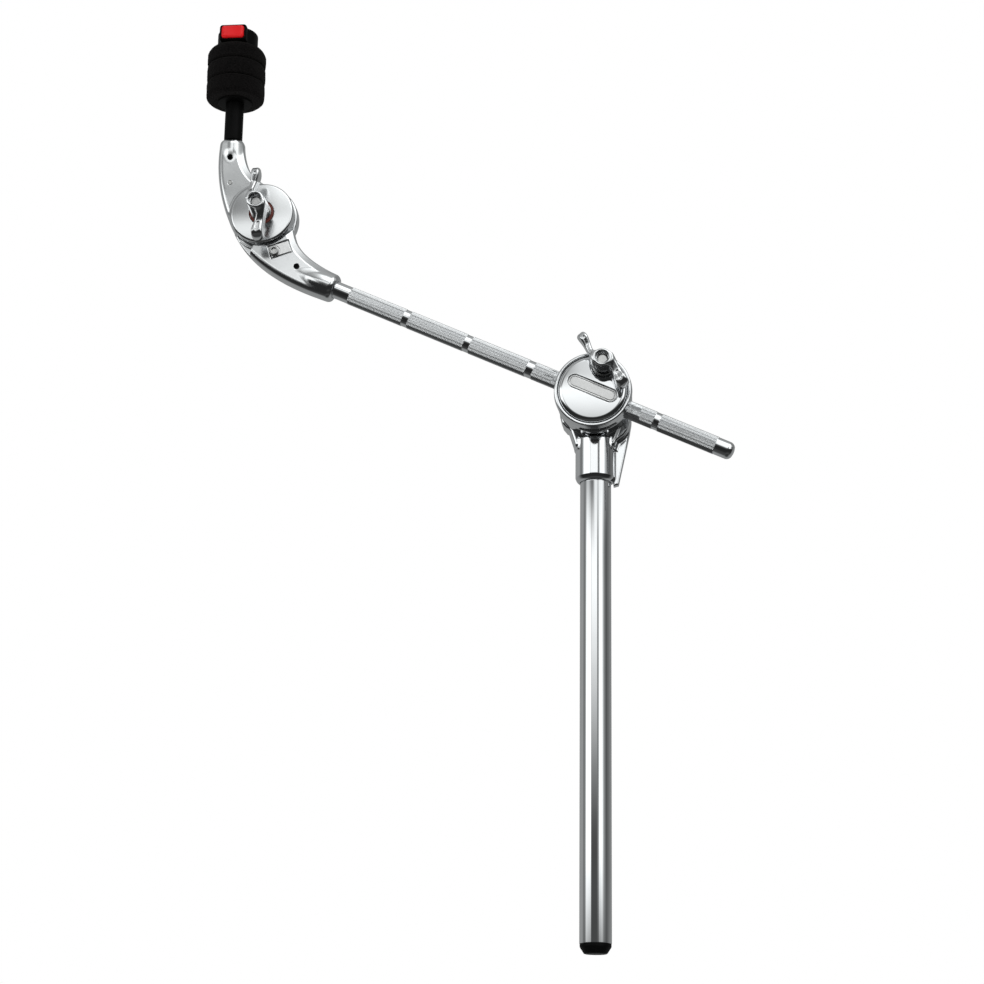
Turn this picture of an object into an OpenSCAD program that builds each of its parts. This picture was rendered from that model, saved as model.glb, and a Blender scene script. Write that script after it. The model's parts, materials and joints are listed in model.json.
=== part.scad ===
// Cymbal boom arm: a steel tube that goes into a stand or clamp, a boom tilter on its top,
// a knurled boom rod, and a cymbal tilter that carries a cymbal seat with a quick-release mate.
// Millimetres, +Z up. The origin is the centre of the tube's lower rim. The boom lies in the XZ plane's
// direction, in front of the tube (towards -Y), and falls towards +X.

/* [Tube] */
// Outer diameter of the tube
tube_d = 22.2; // [19.1:0.1:25.4]
// Wall of the tube
tube_wall = 1.5; // [1.2:0.1:2]
// Height of the tube's upper end, inside the collar
tube_top = 350; // [345:1:352]

/* [Boom tilter] */
// Height of the tilter's pivot above the tube's lower rim
pivot_z = 385; // [385:1:387]
// Outer radius of the rod clamp
clamp_r = 27.6; // [27.4:0.1:28]
// Distance from the rod's axis to the clamp bolt's axis
bolt_offset = 19; // [18.8:0.1:19.2]

/* [Boom rod] */
// Diameter of the rod over its plain bands
rod_d = 12.7; // [12.5:0.1:12.8]
// Angle of the rod below the horizontal
rod_drop = 24.5; // [20:0.5:30]
// Length of the rod on the +X side of the pivot
rod_tail = 108.5; // [90:0.5:120]
// Distance between the plain bands in the knurling
band_pitch = 50; // [40:5:60]

/* [Cymbal tilter] */
// Distance along the rod from the boom pivot to the cymbal tilter's pivot
tilter_reach = 284; // [270:1:300]
// Distance from the rod's axis to the cymbal tilter's pivot
lower_offset = 30.4; // [30:0.1:31]
// Distance from the cymbal rod's axis to the cymbal tilter's pivot
upper_offset = 26.5; // [26:0.1:27.5]

/* [Cymbal seat] */
// Radius of a felt
felt_r = 22.2; // [20:0.1:23]
// Thickness of a felt
felt_h = 14.2; // [12:0.1:15]

/* [Hidden] */
$fn = 64;

fit = 0.05;             // radial clearance of a running fit
gap = 0.3;              // clearance between pieces that only pass each other
tube_r = tube_d / 2;
neck_r = tube_r - 0.25; // the tube's turned-down end, inside the collar
rod_r = rod_d / 2;
knurl_r = rod_r + 0.2;
band_w = 5;
knurl_from = -196;      // along the rod, from the boom pivot
knurl_to = 95;
rod_head = 257.5;       // length of the rod on the -X side of the pivot
rod_y = -22;            // the rod's plane

collar_r = 15;
collar_from = 325.5;
collar_to = 357;
base_front = -9;
base_back = 9;
base_r = 26.5;
trunnion_r = 8;
slot_half = 4.3;        // half the width of the arc slot that the clamp bolt runs in

split = 0.5;            // half the gap between the clamp halves
clamp_front_y = -36;    // front rim of the rod clamp
dome_seat_y = -32.5;    // floor of the pocket that holds the dome
dome_r = 25;
dome_crown = -38.4;     // foremost point of the cover
crown_r = 160;          // shallow crown of the cover's face
badge_depth = 1;
bolt_r = 4;
badge_l = 37.5;
badge_w = 10;
wing_seat_y = -36.2;

tilter_y = rod_y;       // the plane in which both arms' sockets lie
disc_r = 23.5;          // front disc, on the upper arm
ring_r = 24.8;          // rear disc, on the lower arm
relief_r = 25.4;        // the arms are cut back to this radius where the other arm's disc turns
disc_t = 10.4;
disc_gap = 0.6;         // half the gap between the discs
arm_half = 8.5;         // half the thickness of an arm's web
lower_socket_r = 10;
lower_socket_end = 75.5;
upper_socket_r = 8.8;
upper_socket_end = 62.5;
lower_pin = [42.6, -27.5];      // places of the pins, along the socket and across it, from the pivot
upper_pin = [46.8, -upper_offset];
stop_place = [26, -25.5];

stem_r = 6.9;
seat_top = 626;
slide_gap = 0.3;        // between a slide and the middle of the mate
seat_t = 1.6;
sleeve_r = 5.9;
mate_r = 15.2;
mate_h = 13.8;
button_face = 20.5;     // distance from the stem's axis to the front of a button
button_w = 17.2;
button_h = 10.2;
press = 2.5;            // travel of a button

// Places worked out from the dimensions above
tilter_x = -tilter_reach * cos(rod_drop) + lower_offset * sin(rod_drop);
tilter_z = pivot_z + tilter_reach * sin(rod_drop) + lower_offset * cos(rod_drop);
stem_x = tilter_x - upper_offset;
mate_z = seat_top + 3 * felt_h + 0.1;

// ---------- helpers ----------
// A cylinder along Y, from y0 to y1
module y_rod(r, y0, y1) {
    translate([0, y1, 0]) rotate([90, 0, 0]) cylinder(h = y1 - y0, r = r);
}

// A cone along Y, with radius r0 at y0 and r1 at y1
module y_cone(r0, r1, y0, y1) {
    translate([0, y1, 0]) rotate([90, 0, 0]) cylinder(h = y1 - y0, r1 = r1, r2 = r0);
}

// A flat ring along Y
module y_ring(r_out, r_in, y0, y1) {
    difference() {
        y_rod(r_out, y0, y1);
        y_rod(r_in, y0 - 1, y1 + 1);
    }
}

// A 2D shape in X and Z, made solid from y0 to y1
module y_slab(y0, y1) {
    translate([0, y1, 0]) rotate([90, 0, 0]) linear_extrude(y1 - y0) children();
}

// A cylinder along X, from x0 to x1
module x_rod(r, x0, x1) {
    translate([x0, 0, 0]) rotate([0, 90, 0]) cylinder(h = x1 - x0, r = r);
}

// The boom pivot, turned so that X runs along the rod and Z away from it, towards the clamp bolt
module at_boom() {
    translate([0, 0, pivot_z]) rotate([0, rod_drop, 0]) children();
}

// The cymbal tilter's pivot, upright
module at_tilter() {
    translate([tilter_x, 0, tilter_z]) children();
}

// The cymbal tilter's pivot, turned so that X runs along the boom rod
module at_tilter_rod() {
    at_tilter() rotate([0, rod_drop, 0]) children();
}

// The cymbal tilter's pivot, turned and mirrored so that X runs up along the cymbal rod, which lies at -Z
module at_tilter_stem() {
    at_tilter() rotate([0, -90, 0]) mirror([0, 0, 1]) children();
}

// A point on a cubic curve with the control points a, b, c and d
function curve(a, b, c, d, t) =
    a * pow(1 - t, 3) + b * 3 * t * pow(1 - t, 2) + c * 3 * pow(t, 2) * (1 - t) + d * pow(t, 3);

function curve_points(a, b, c, d, n = 10) = [for (i = [0:n]) curve(a, b, c, d, i / n)];

// ---------- tube ----------
module tube() {
    color("gainsboro") difference() {
        union() {
            cylinder(h = collar_from - gap, r = tube_r);
            cylinder(h = tube_top, r = neck_r);
        }
        translate([0, 0, -1]) cylinder(h = tube_top + 2, r = tube_r - tube_wall);
        translate([0, 0, collar_from + 14]) rotate([-90, 0, 0]) cylinder(h = tube_r + 1, r = 1.6);
    }
}

// Plastic end plug: a flange nearly as wide as the tube, a chamfered foot, and ribs that grip the bore
module tube_plug() {
    core_r = tube_r - tube_wall - 0.5;
    flange_r = tube_r - 0.25;
    color("#181818") union() {
        translate([0, 0, -2.2]) cylinder(h = 2.15, r = flange_r);
        translate([0, 0, -6.8]) cylinder(h = 4.7, r1 = 7.9, r2 = flange_r);
        translate([0, 0, -0.1]) cylinder(h = 16, r = core_r);
        for (z = [3, 7, 11])
            translate([0, 0, z]) cylinder(h = 1.2, r = core_r + 0.45);
    }
}

// ---------- boom tilter base ----------
// Outline of the base seen from the front: a disc on shoulders that narrow to the collar
module base_outline() {
    translate([0, pivot_z]) circle(r = base_r);
    polygon([
        [-25.2, pivot_z], [-25.2, 374], [-23.6, 369], [-20.8, 365.5], [-17, 363.5], [-15, 356], [-14, 352],
        [14, 352], [15.5, 355], [20.5, 359], [23.4, 363], [25.2, 369], [25.8, pivot_z]
    ]);
}

module tilter_base() {
    slot_from = -14;
    slot_to = 124;
    color("silver") difference() {
        union() {
            y_slab(base_front, base_back) base_outline();
            translate([0, 0, collar_from + 4]) cylinder(h = collar_to - collar_from - 4, r = collar_r);
            translate([0, 0, collar_from]) cylinder(h = 4, r1 = collar_r - 2.6, r2 = collar_r);
            intersection() {
                translate([0, 0, 350]) cylinder(h = 14, r1 = collar_r, r2 = collar_r + 4.5);
                translate([-20, base_front, 340]) cube([40, 40, 24]);
            }
            y_slab(-3, 3) polygon([[10, 370], [25.4, 370], [24.6, 362], [16.6, 323.5], [12.8, 322.5], [12.8, 350]]);
        }
        translate([0, 0, collar_from - 4]) cylinder(h = tube_top - collar_from + 4, r = neck_r + fit);
        translate([0, 0, collar_from - 4]) cylinder(h = 5.5, r1 = tube_r + 1.6, r2 = neck_r);
        translate([0, 0, pivot_z]) {
            y_rod(trunnion_r, base_front - 1, base_back + 1);
            // the arc slot, about the pivot
            rotate([90, 0, 0]) rotate([0, 0, slot_from])
                rotate_extrude(angle = slot_to - slot_from)
                    translate([bolt_offset - slot_half, -base_back - 2])
                        square([2 * slot_half, base_back - base_front + 4]);
        }
        translate([0, 0, collar_from + 14]) rotate([-90, 0, 0]) cylinder(h = collar_r + 1, r = 1.6);
    }
}

// Spring pin that holds the collar on the tube, at the back
module collar_pin() {
    color("dimgray") translate([0, tube_r - tube_wall, collar_from + 14]) rotate([-90, 0, 0]) difference() {
        cylinder(h = collar_r - tube_r + tube_wall - 0.4, r = 1.55);
        translate([0, 0, -1]) cylinder(h = 20, r = 0.8);
    }
}

// Nylon disc between the base and the turning clamp
module friction_disc() {
    color("ivory") translate([0, 0, pivot_z]) y_ring(14, trunnion_r + 0.2, base_front - 1.1, base_front);
}

// ---------- rod clamp ----------
module rod_groove() {
    translate([0, rod_y, 0]) x_rod(knurl_r + fit, -40, 40);
}

module bolt_hole() {
    translate([0, 0, bolt_offset]) y_rod(bolt_r + 0.1, -60, 20);
}

module clamp_rear() {
    back = base_front - gap;
    color("silver") at_boom() difference() {
        union() {
            y_rod(clamp_r - 0.6, rod_y + split, back);
            y_rod(trunnion_r - fit, back - 1, base_back + 0.4);
        }
        rod_groove();
        bolt_hole();
        y_ring(14.4, trunnion_r + 0.05, base_front - 1.2, base_front);
        y_rod(3.05, base_front - 2, base_back + 2);
        translate([0, 0, bolt_offset]) y_rod(6.2, rod_y, rod_y + 4.5);
    }
}

module clamp_front() {
    color("silver") at_boom() difference() {
        union() {
            y_rod(clamp_r, clamp_front_y + 0.8, rod_y - split);
            y_cone(clamp_r - 0.9, clamp_r, clamp_front_y, clamp_front_y + 0.8);
            // the lip that the halves rock on
            intersection() {
                y_rod(clamp_r, rod_y - 3, rod_y + split - 0.02);
                translate([-15, rod_y - 3, -clamp_r]) cube([30, 6, 8]);
            }
        }
        difference() {
            y_rod(dome_r + 0.2, clamp_front_y - 1, dome_seat_y);
            translate([0, 0, bolt_offset]) y_rod(8.2, clamp_front_y + 0.1, dome_seat_y + 1);
        }
        rod_groove();
        bolt_hole();
        translate([0, 0, bolt_offset]) y_rod(6.2, rod_y - 4.5, rod_y);
    }
}

// Crowned cover in the clamp's front pocket, notched for the wing nut, with a recess for the badge
module dome_cover() {
    rim_y = dome_seat_y - 3;
    color("whitesmoke") at_boom() difference() {
        intersection() {
            union() {
                y_rod(dome_r, rim_y, dome_seat_y);
                y_cone(dome_r - 3, dome_r, dome_crown - 0.2, rim_y);
            }
            crown_ball(0);
        }
        translate([0, 0, bolt_offset]) y_rod(9.4, -60, dome_seat_y + 1);
        difference() {
            y_slab(dome_crown - 4, dome_seat_y - 1) stadium(badge_l, badge_w);
            crown_ball(badge_depth);
        }
    }
}

// Large ball whose front is the cover's face, or lies so far beneath it
module crown_ball(depth) {
    translate([0, dome_crown + crown_r, 0]) sphere(r = crown_r - depth, $fn = 96);
}

module stadium(l, w) {
    square([l - w, w], center = true);
    for (s = [-1, 1]) translate([s * (l - w) / 2, 0]) circle(r = w / 2);
}

// Blank oval plate in the cover's recess
module badge_plate() {
    color("silver") at_boom() difference() {
        intersection() {
            y_slab(dome_crown - 1, dome_seat_y - 1) stadium(badge_l - 0.6, badge_w - 0.6);
            crown_ball(0.35);
        }
        crown_ball(badge_depth - 0.02);
    }
}

// Bolt that closes the clamp and, through the arc slot, grips the base
module clamp_bolt() {
    color("silver") at_boom() translate([0, 0, bolt_offset]) {
        y_rod(bolt_r - fit, -51, base_back + 2.5);
        translate([0, base_back + 6.9, 0]) rotate([90, 0, 0]) cylinder(h = 4.8, r = 7.2, $fn = 6);
    }
}

module clamp_bolt_washer() {
    color("gainsboro") at_boom() translate([0, 0, bolt_offset]) y_ring(7.6, bolt_r + 0.2, base_back + 0.4, base_back + 2);
}

// Light spring that opens the clamp, drawn as its envelope
module clamp_spring() {
    color("gray") at_boom() translate([0, 0, bolt_offset]) y_ring(5.9, 5, rod_y - 4.4, rod_y + 4.4);
}

module pivot_screw() {
    color("silver") at_boom() {
        y_rod(3, base_front + 1, base_back + 2);
        translate([0, base_back + 6.2, 0]) rotate([90, 0, 0]) cylinder(h = 4.3, r = 5.8, $fn = 6);
    }
}

module pivot_washer() {
    color("gainsboro") at_boom() y_ring(10.6, 3.2, base_back + 0.45, base_back + 1.85);
}

module boom_wing_washer() {
    color("gainsboro") at_boom() translate([0, 0, bolt_offset]) y_ring(7.9, bolt_r + 0.2, wing_seat_y - 1.4, wing_seat_y);
}

// Wing nut seen along Y: a hub from y_seat to y_nose, and two wings of half-span reach along Z
module wing_nut(y_seat, y_nose, reach, sweep) {
    hub_r = 7.4;
    difference() {
        union() {
            y_cone(hub_r - 0.9, hub_r, y_nose + 1, y_seat);
            y_cone(hub_r - 1.9, hub_r - 0.9, y_nose, y_nose + 1);
            for (s = [-1, 1]) rotate([0, s < 0 ? 180 : 0, 0]) intersection() {
                rotate([0, -90, 0]) translate([0, 0, -3.2]) linear_extrude(6.4)
                    polygon(concat(
                        curve_points([4, y_nose + 14], [10, y_nose + 12], [17, y_nose + sweep + 7],
                                     [reach - 2.5, y_nose + sweep + 6]),
                        curve_points([reach, y_nose + sweep + 3.5], [reach, y_nose + sweep - 3],
                                     [reach - 3, y_nose + sweep - 5.4], [reach - 7, y_nose + sweep - 5], 6),
                        curve_points([16, y_nose + sweep - 4], [12, y_nose + sweep / 2], [8, y_nose + 0.6],
                                     [4, y_nose + 0.6])));
                union() {
                    translate([0, 0, reach - 7]) y_rod(7.2, y_nose - 20, y_seat + 20);
                    translate([-2.6, y_nose - 20, 0]) cube([5.2, 60, reach - 6]);
                }
            }
        }
        y_rod(bolt_r, y_nose - 1, y_seat + 1);
        y_rod(4.8, y_nose - 1, y_nose + 5);
    }
}

module boom_wing_nut() {
    color("whitesmoke") at_boom() translate([0, 0, bolt_offset]) rotate([0, -39.5 - rod_drop, 0])
        wing_nut(wing_seat_y - 1.5, -56, 26, 6.5);
}

// ---------- boom rod ----------
// Knurled between the plain bands; the free end is rounded
module boom_rod() {
    bands = [for (k = [-3:1]) k * band_pitch];
    edges = concat([knurl_from], [for (b = bands) each [b - band_w / 2, b + band_w / 2]], [knurl_to]);
    color("lightgray") at_boom() translate([0, rod_y, 0]) union() {
        x_rod(rod_r, -rod_head, rod_tail - 4.5);
        translate([rod_tail - 4.5, 0, 0]) rotate([0, 90, 0])
            rotate_extrude() union() {
                square([rod_r - 4.5, 4.5]);
                intersection() {
                    translate([rod_r - 4.5, 0]) circle(r = 4.5);
                    square([rod_r, 4.5]);
                }
            }
        for (i = [0:2:len(edges) - 1]) x_rod(knurl_r, edges[i], edges[i + 1]);
    }
}

// ---------- cymbal tilter ----------
// Outline of an arm about the pivot: X runs along its socket, whose axis lies at -offset
module arm_outline(offset_to_axis, socket_r, end) {
    outer = -offset_to_axis - socket_r;
    inner = -offset_to_axis + socket_r;
    polygon(concat(
        curve_points([-15, -20.2], [3, outer + 5], [31, outer - 3], [end - 4, outer - 0.2], 14),
        [[end - 1.5, outer + 1.4], [end - 1.5, inner - 1.4]],
        curve_points([end - 4, inner + 0.2], [38, inner + 2.5], [32, -10], [24, 2], 12),
        [[4, 6]]));
}

// The web and the socket's outside, clear of the other arm's disc on the side from y0 to y1
module arm_body(offset_to_axis, socket_r, end, y0, y1) {
    difference() {
        union() {
            y_slab(tilter_y - arm_half, tilter_y + arm_half) arm_outline(offset_to_axis, socket_r, end);
            translate([0, tilter_y, -offset_to_axis]) {
                x_rod(socket_r, 40, end - 1.6);
                translate([end - 1.6, 0, 0]) rotate([0, 90, 0]) cylinder(h = 1.6, r1 = socket_r, r2 = socket_r - 1.6);
            }
        }
        y_rod(relief_r, y0, y1);
    }
}

module lower_arm() {
    back = tilter_y + disc_gap;
    color("silver") at_tilter_rod() difference() {
        union() {
            arm_body(lower_offset, lower_socket_r, lower_socket_end, tilter_y - 20, back);
            y_rod(ring_r, back, back + disc_t - 0.8);
            y_cone(ring_r, ring_r - 1.2, back + disc_t - 0.8, back + disc_t);
        }
        arm_heel(y_from = tilter_y - 20, y_to = back);
        translate([0, tilter_y, -lower_offset]) x_rod(rod_r + fit, tilter_reach - rod_head - 0.1, 100);
        y_rod(4.2, -60, 20);
        // counterbores for the toothed ring and the spring, a square seat for the bolt's neck
        y_rod(18.2, back - 1, back + 1.6);
        y_rod(8, back - 1, back + 4.2);
        translate([-4.6, back + 4, -4.6]) cube([9.2, 20, 9.2]);
        lock_frame() translate([-8.3, -2, -5.3]) cube([16.6, 3.6, 10.6]);
        lock_frame() translate([-4.3, 0, 0]) y_rod(2.05, 0, 6.5);
        pin_hole(lower_pin, tilter_y - rod_r + 1);
    }
}

// The part of an arm's web behind the pivot, cut away for the other arm as it leans outwards
module arm_heel(y_from, y_to) {
    translate([-40, y_from, -40]) cube([40 + 5, y_to - y_from, 40]);
}

// A hole from an arm's front, down to y_to
module pin_hole(place, y_to) {
    translate([place[0], 0, place[1]]) y_rod(2, tilter_y - 20, y_to);
}

// A frame on the lower arm's front face, where the lock plate sits beside the disc
module lock_frame() {
    translate([25.1, tilter_y - arm_half, -20.1]) rotate([0, -43.5, 0]) children();
}

module lock_plate() {
    color("silver") at_tilter_rod() lock_frame() difference() {
        translate([-8, -0.1, -5]) cube([16, 1.65, 10]);
        translate([-4.3, 0, 0]) y_rod(2.1, -1, 10);
    }
}

// Socket-head screw in the plate
module lock_screw() {
    color("dimgray") at_tilter_rod() lock_frame() translate([-4.3, 0, 0]) difference() {
        union() {
            y_rod(3.6, -2, -0.15);
            y_rod(2, -1, 6.2);
        }
        translate([0, -0.7, 0]) rotate([90, 0, 0]) cylinder(h = 3, r = 2, $fn = 6);
    }
}

// Set screw in an arm's pin hole, its tip on the rod
module set_screw(tip_y, l) {
    difference() {
        y_rod(1.95, tip_y - l, tip_y);
        translate([0, tip_y - l / 2, 0]) rotate([90, 0, 0]) cylinder(h = l, r = 1.1, $fn = 6);
    }
}

module lower_set_screw() {
    color("#303030") at_tilter_rod() translate([lower_pin[0], 0, lower_pin[1]])
        set_screw(tilter_y - rod_r - 0.1, 1.6);
}

// Carriage bolt: its square neck sits in the lower arm, its thread takes the wing nut
module tilter_bolt() {
    back = tilter_y + disc_gap;
    color("silver") at_tilter_rod() {
        y_rod(bolt_r - fit, -53, back + disc_t - 2);
        translate([-4.5, back + 4.2, -4.5]) cube([9, disc_t - 4, 9]);
        y_rod(9.5, back + disc_t + 0.1, back + disc_t + 1.6);
        y_cone(9.5, 5.5, back + disc_t + 1.6, back + disc_t + 4.2);
    }
}

// Ring of radial teeth; the two rings face each other
module tooth_ring(y0, y1, phase) {
    teeth = 24;
    difference() {
        y_ring(18, 10, y0, y1);
        for (i = [0:teeth - 1]) rotate([0, (i + phase) * 360 / teeth, 0])
            translate([9, phase > 0 ? y1 - 0.45 : y0 - 1, -0.55]) cube([10, 1.45, 1.1]);
    }
}

module lower_tooth_ring() {
    color("gray") at_tilter_rod() tooth_ring(tilter_y + 0.1, tilter_y + disc_gap + 1.5, 0);
}

module upper_tooth_ring() {
    color("gray") at_tilter() tooth_ring(tilter_y - disc_gap - 1.5, tilter_y - 0.1, 0.5);
}

// Spring that parts the discs when the wing nut is slack, drawn as its envelope
module tilter_spring() {
    color("gray") at_tilter_rod() y_ring(7.6, 6.6, tilter_y - 4.7, tilter_y + 4.7);
}

module upper_arm() {
    front = tilter_y - disc_gap;
    color("silver") at_tilter_stem() difference() {
        union() {
            arm_body(upper_offset, upper_socket_r, upper_socket_end, front, tilter_y + 20);
            y_rod(disc_r, front - disc_t + 1, front);
            y_cone(disc_r - 1.4, disc_r, front - disc_t, front - disc_t + 1);
        }
        arm_heel(y_from = front, y_to = tilter_y + 20);
        translate([0, tilter_y, -upper_offset]) x_rod(bolt_r + fit, 34, 100);
        y_rod(4.4, -60, 20);
        y_rod(18.2, front - 1.6, front + 1);
        y_rod(8, front - 4.2, front + 1);
        // the round recess in the face, where the washer and the wing nut's spacer sit
        y_rod(9.4, front - disc_t - 1, front - disc_t + 1.6);
        pin_hole(upper_pin, tilter_y - bolt_r + 1);
        translate([stop_place[0], 0, stop_place[1]]) y_rod(1.6, tilter_y - 20, tilter_y - arm_half + 2);
    }
}

module upper_set_screw() {
    color("#303030") at_tilter_stem() translate([upper_pin[0], 0, upper_pin[1]])
        set_screw(tilter_y - bolt_r - 0.05, 3);
}

module stop_pin() {
    color("silver") at_tilter_stem() translate([stop_place[0], 0, stop_place[1]])
        y_rod(1.55, tilter_y - arm_half + 0.3, tilter_y - arm_half + 1.9);
}

module fibre_washer() {
    color("#9a4a3c") at_tilter() y_ring(9.1, bolt_r + 0.3, tilter_y - disc_gap - disc_t + 0.5, tilter_y - disc_gap - disc_t + 1.5);
}

// Steel spacer between the washer and the wing nut
module wing_spacer() {
    color("silver") at_tilter() y_ring(7.6, bolt_r + 0.3, tilter_y - disc_gap - disc_t - 5, tilter_y - disc_gap - disc_t + 0.4);
}

module tilter_wing_nut() {
    color("whitesmoke") at_tilter() rotate([0, -3.5, 0])
        wing_nut(tilter_y - disc_gap - disc_t - 5.1, -58, 28.5, 8.5);
}

// ---------- cymbal seat ----------
module at_stem() {
    translate([stem_x, tilter_y, 0]) children();
}

module z_ring(r_out, r_in, z0, z1) {
    translate([0, 0, z0]) difference() {
        cylinder(h = z1 - z0, r = r_out);
        translate([0, 0, -1]) cylinder(h = z1 - z0 + 2, r = r_in);
    }
}

module cymbal_rod() {
    rod_from = tilter_z + 34.1;
    rod_to = mate_z + mate_h - 5.5;
    color("silver") at_stem() union() {
        translate([0, 0, rod_from]) cylinder(h = rod_to - rod_from, r = bolt_r);
        translate([0, 0, rod_to]) cylinder(h = 1.5, r1 = bolt_r, r2 = bolt_r - 1.5);
    }
}

module stem_sleeve() {
    color("#101010") at_stem()
        z_ring(stem_r, bolt_r + fit, tilter_z + upper_socket_end + 0.1, seat_top - seat_t - fit);
}

module seat_washer() {
    color("#202020") at_stem() z_ring(13, bolt_r + fit, seat_top - seat_t, seat_top);
}

// Plastic sleeve that lines the cymbal's hole
module cymbal_sleeve() {
    color("#101010") at_stem() z_ring(sleeve_r, bolt_r + 0.2, seat_top + 0.05, seat_top + 2.6 * felt_h);
}

module felt(k, r) {
    color("#161616") at_stem()
        z_ring(r, sleeve_r + 0.2, seat_top + k * felt_h + 0.05, seat_top + (k + 1) * felt_h);
}

module lower_felt() { felt(0, felt_r); }
module middle_felt() { felt(1, felt_r + 0.2); }
module upper_felt() { felt(2, felt_r); }

// Quick-release mate: a round body with a square channel through it, front to back
module mate_body() {
    channel_w = button_w + 2 * gap;
    wall = 1.6;
    color("#141414") at_stem() difference() {
        union() {
            translate([0, 0, mate_z]) cylinder(h = mate_h - 2, r = mate_r);
            translate([0, 0, mate_z + mate_h - 2]) cylinder(h = 2, r1 = mate_r, r2 = mate_r - 2);
            translate([-channel_w / 2 - wall, -button_face + 1, mate_z])
                cube([channel_w + 2 * wall, 2 * button_face - 2, mate_h - 0.3]);
        }
        translate([0, 0, mate_z - 1]) cylinder(h = mate_h + 4, r = bolt_r + 0.3);
        translate([-channel_w / 2, -30, mate_z + wall]) cube([channel_w, 60, button_h + 2 * gap]);
    }
}

// Pockets for the two springs behind a button
module spring_pockets() {
    for (x = [-5.6, 5.6]) translate([x, 0, mate_z + 1.6 + gap + button_h / 2]) y_rod(2.3, -button_face + 1.8, -11);
}

// Push button in the channel's mouth
module button() {
    color("red") difference() {
        translate([-button_w / 2, -button_face - 0.4, mate_z + 1.6 + gap]) cube([button_w, 5.4, button_h]);
        spring_pockets();
    }
}

// Slide behind a button, which hooks on the rod's thread; the two slides lie one above the other
module slide(lift) {
    slide_h = button_h / 2 - slide_gap;
    z0 = mate_z + 1.6 + gap + lift;
    hole_r = bolt_r + 1.4;
    color("dimgray") difference() {
        translate([-button_w / 2, -button_face + 5, z0]) cube([button_w, button_face + 4, slide_h]);
        for (y = [0, -press - gap]) translate([0, y, z0 - 1]) cylinder(h = slide_h + 2, r = hole_r);
        translate([-hole_r, -press - gap, z0 - 1]) cube([2 * hole_r, press + gap, slide_h + 2]);
        spring_pockets();
    }
}

module front_button() { at_stem() button(); }
module rear_button() { at_stem() rotate([0, 0, 180]) button(); }
module front_slide() { at_stem() slide(0); }
module rear_slide() { at_stem() rotate([0, 0, 180]) slide(button_h / 2 + slide_gap); }

// Four light springs behind the buttons, drawn as their envelopes
module button_springs() {
    z = mate_z + 1.6 + gap + button_h / 2;
    color("gray") at_stem() for (s = [-1, 1], x = [-5.6, 5.6]) translate([x, 0, z])
        y_ring(2, 1.3, s < 0 ? -16 : 11.9, s < 0 ? -11.9 : 16);
}

tube();
tube_plug();
tilter_base();
collar_pin();
friction_disc();
clamp_rear();
clamp_front();
dome_cover();
badge_plate();
clamp_bolt();
clamp_bolt_washer();
clamp_spring();
pivot_screw();
pivot_washer();
boom_wing_washer();
boom_wing_nut();
boom_rod();
lower_arm();
lower_set_screw();
lock_plate();
lock_screw();
tilter_bolt();
lower_tooth_ring();
tilter_spring();
tilter_wing_nut();
upper_arm();
upper_tooth_ring();
upper_set_screw();
stop_pin();
fibre_washer();
wing_spacer();
cymbal_rod();
stem_sleeve();
seat_washer();
cymbal_sleeve();
lower_felt();
middle_felt();
upper_felt();
mate_body();
front_button();
rear_button();
front_slide();
rear_slide();
button_springs();
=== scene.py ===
import json
import math

import bmesh
import bpy
import numpy as np
from mathutils import Matrix, Vector, noise

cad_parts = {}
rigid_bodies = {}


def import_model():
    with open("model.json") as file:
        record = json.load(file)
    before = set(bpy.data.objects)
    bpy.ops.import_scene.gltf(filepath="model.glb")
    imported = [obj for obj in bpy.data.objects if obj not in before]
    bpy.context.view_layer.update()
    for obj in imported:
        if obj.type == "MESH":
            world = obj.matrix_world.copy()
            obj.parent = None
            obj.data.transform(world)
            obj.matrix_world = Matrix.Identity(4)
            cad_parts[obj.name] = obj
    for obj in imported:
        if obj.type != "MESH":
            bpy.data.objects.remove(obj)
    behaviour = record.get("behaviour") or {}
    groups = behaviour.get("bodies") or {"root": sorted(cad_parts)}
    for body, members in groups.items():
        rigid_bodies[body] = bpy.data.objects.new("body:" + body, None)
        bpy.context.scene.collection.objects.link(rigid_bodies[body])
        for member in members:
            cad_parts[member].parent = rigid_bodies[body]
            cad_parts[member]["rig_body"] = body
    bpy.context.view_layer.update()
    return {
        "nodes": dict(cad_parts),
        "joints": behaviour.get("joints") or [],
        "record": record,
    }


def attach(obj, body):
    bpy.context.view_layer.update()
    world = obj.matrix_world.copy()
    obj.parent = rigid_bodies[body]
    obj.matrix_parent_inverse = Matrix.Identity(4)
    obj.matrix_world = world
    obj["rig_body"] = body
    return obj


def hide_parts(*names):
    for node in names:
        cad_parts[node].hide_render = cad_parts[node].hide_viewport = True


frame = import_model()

nodes = frame["nodes"]
joints = {j["name"]: j for j in frame["joints"]}
slotOf = {s["node"]: s["material_slot"] for s in frame["record"]["subparts"]}
bodyOf = {n: nodes[n]["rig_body"] for n in nodes}
scene = bpy.context.scene
mm = 0.001
coarse = 1.0


def placeFrom(origin, xDir, yDir, zDir):
    m = Matrix.Identity(4)
    for i, d in enumerate((xDir, yDir, zDir)):
        m.col[i][:3] = Vector(d)
    m.col[3][:3] = Vector(origin)
    return m


slideAxis = Vector(joints["boom_slide"]["axis"]).normalized()
across = Vector((-slideAxis.z, 0, slideAxis.x))
backwards = Vector((0, 1, 0))
pivotAt = Vector(joints["boom_tilt"]["pos_m"]) / mm
tilterAt = Vector(joints["cymbal_tilt"]["pos_m"]) / mm
stemAt = Vector(joints["mate_lift"]["pos_m"]) / mm
boltOffset = 19.0                     # clamp bolt from the boom pivot, mm

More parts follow.
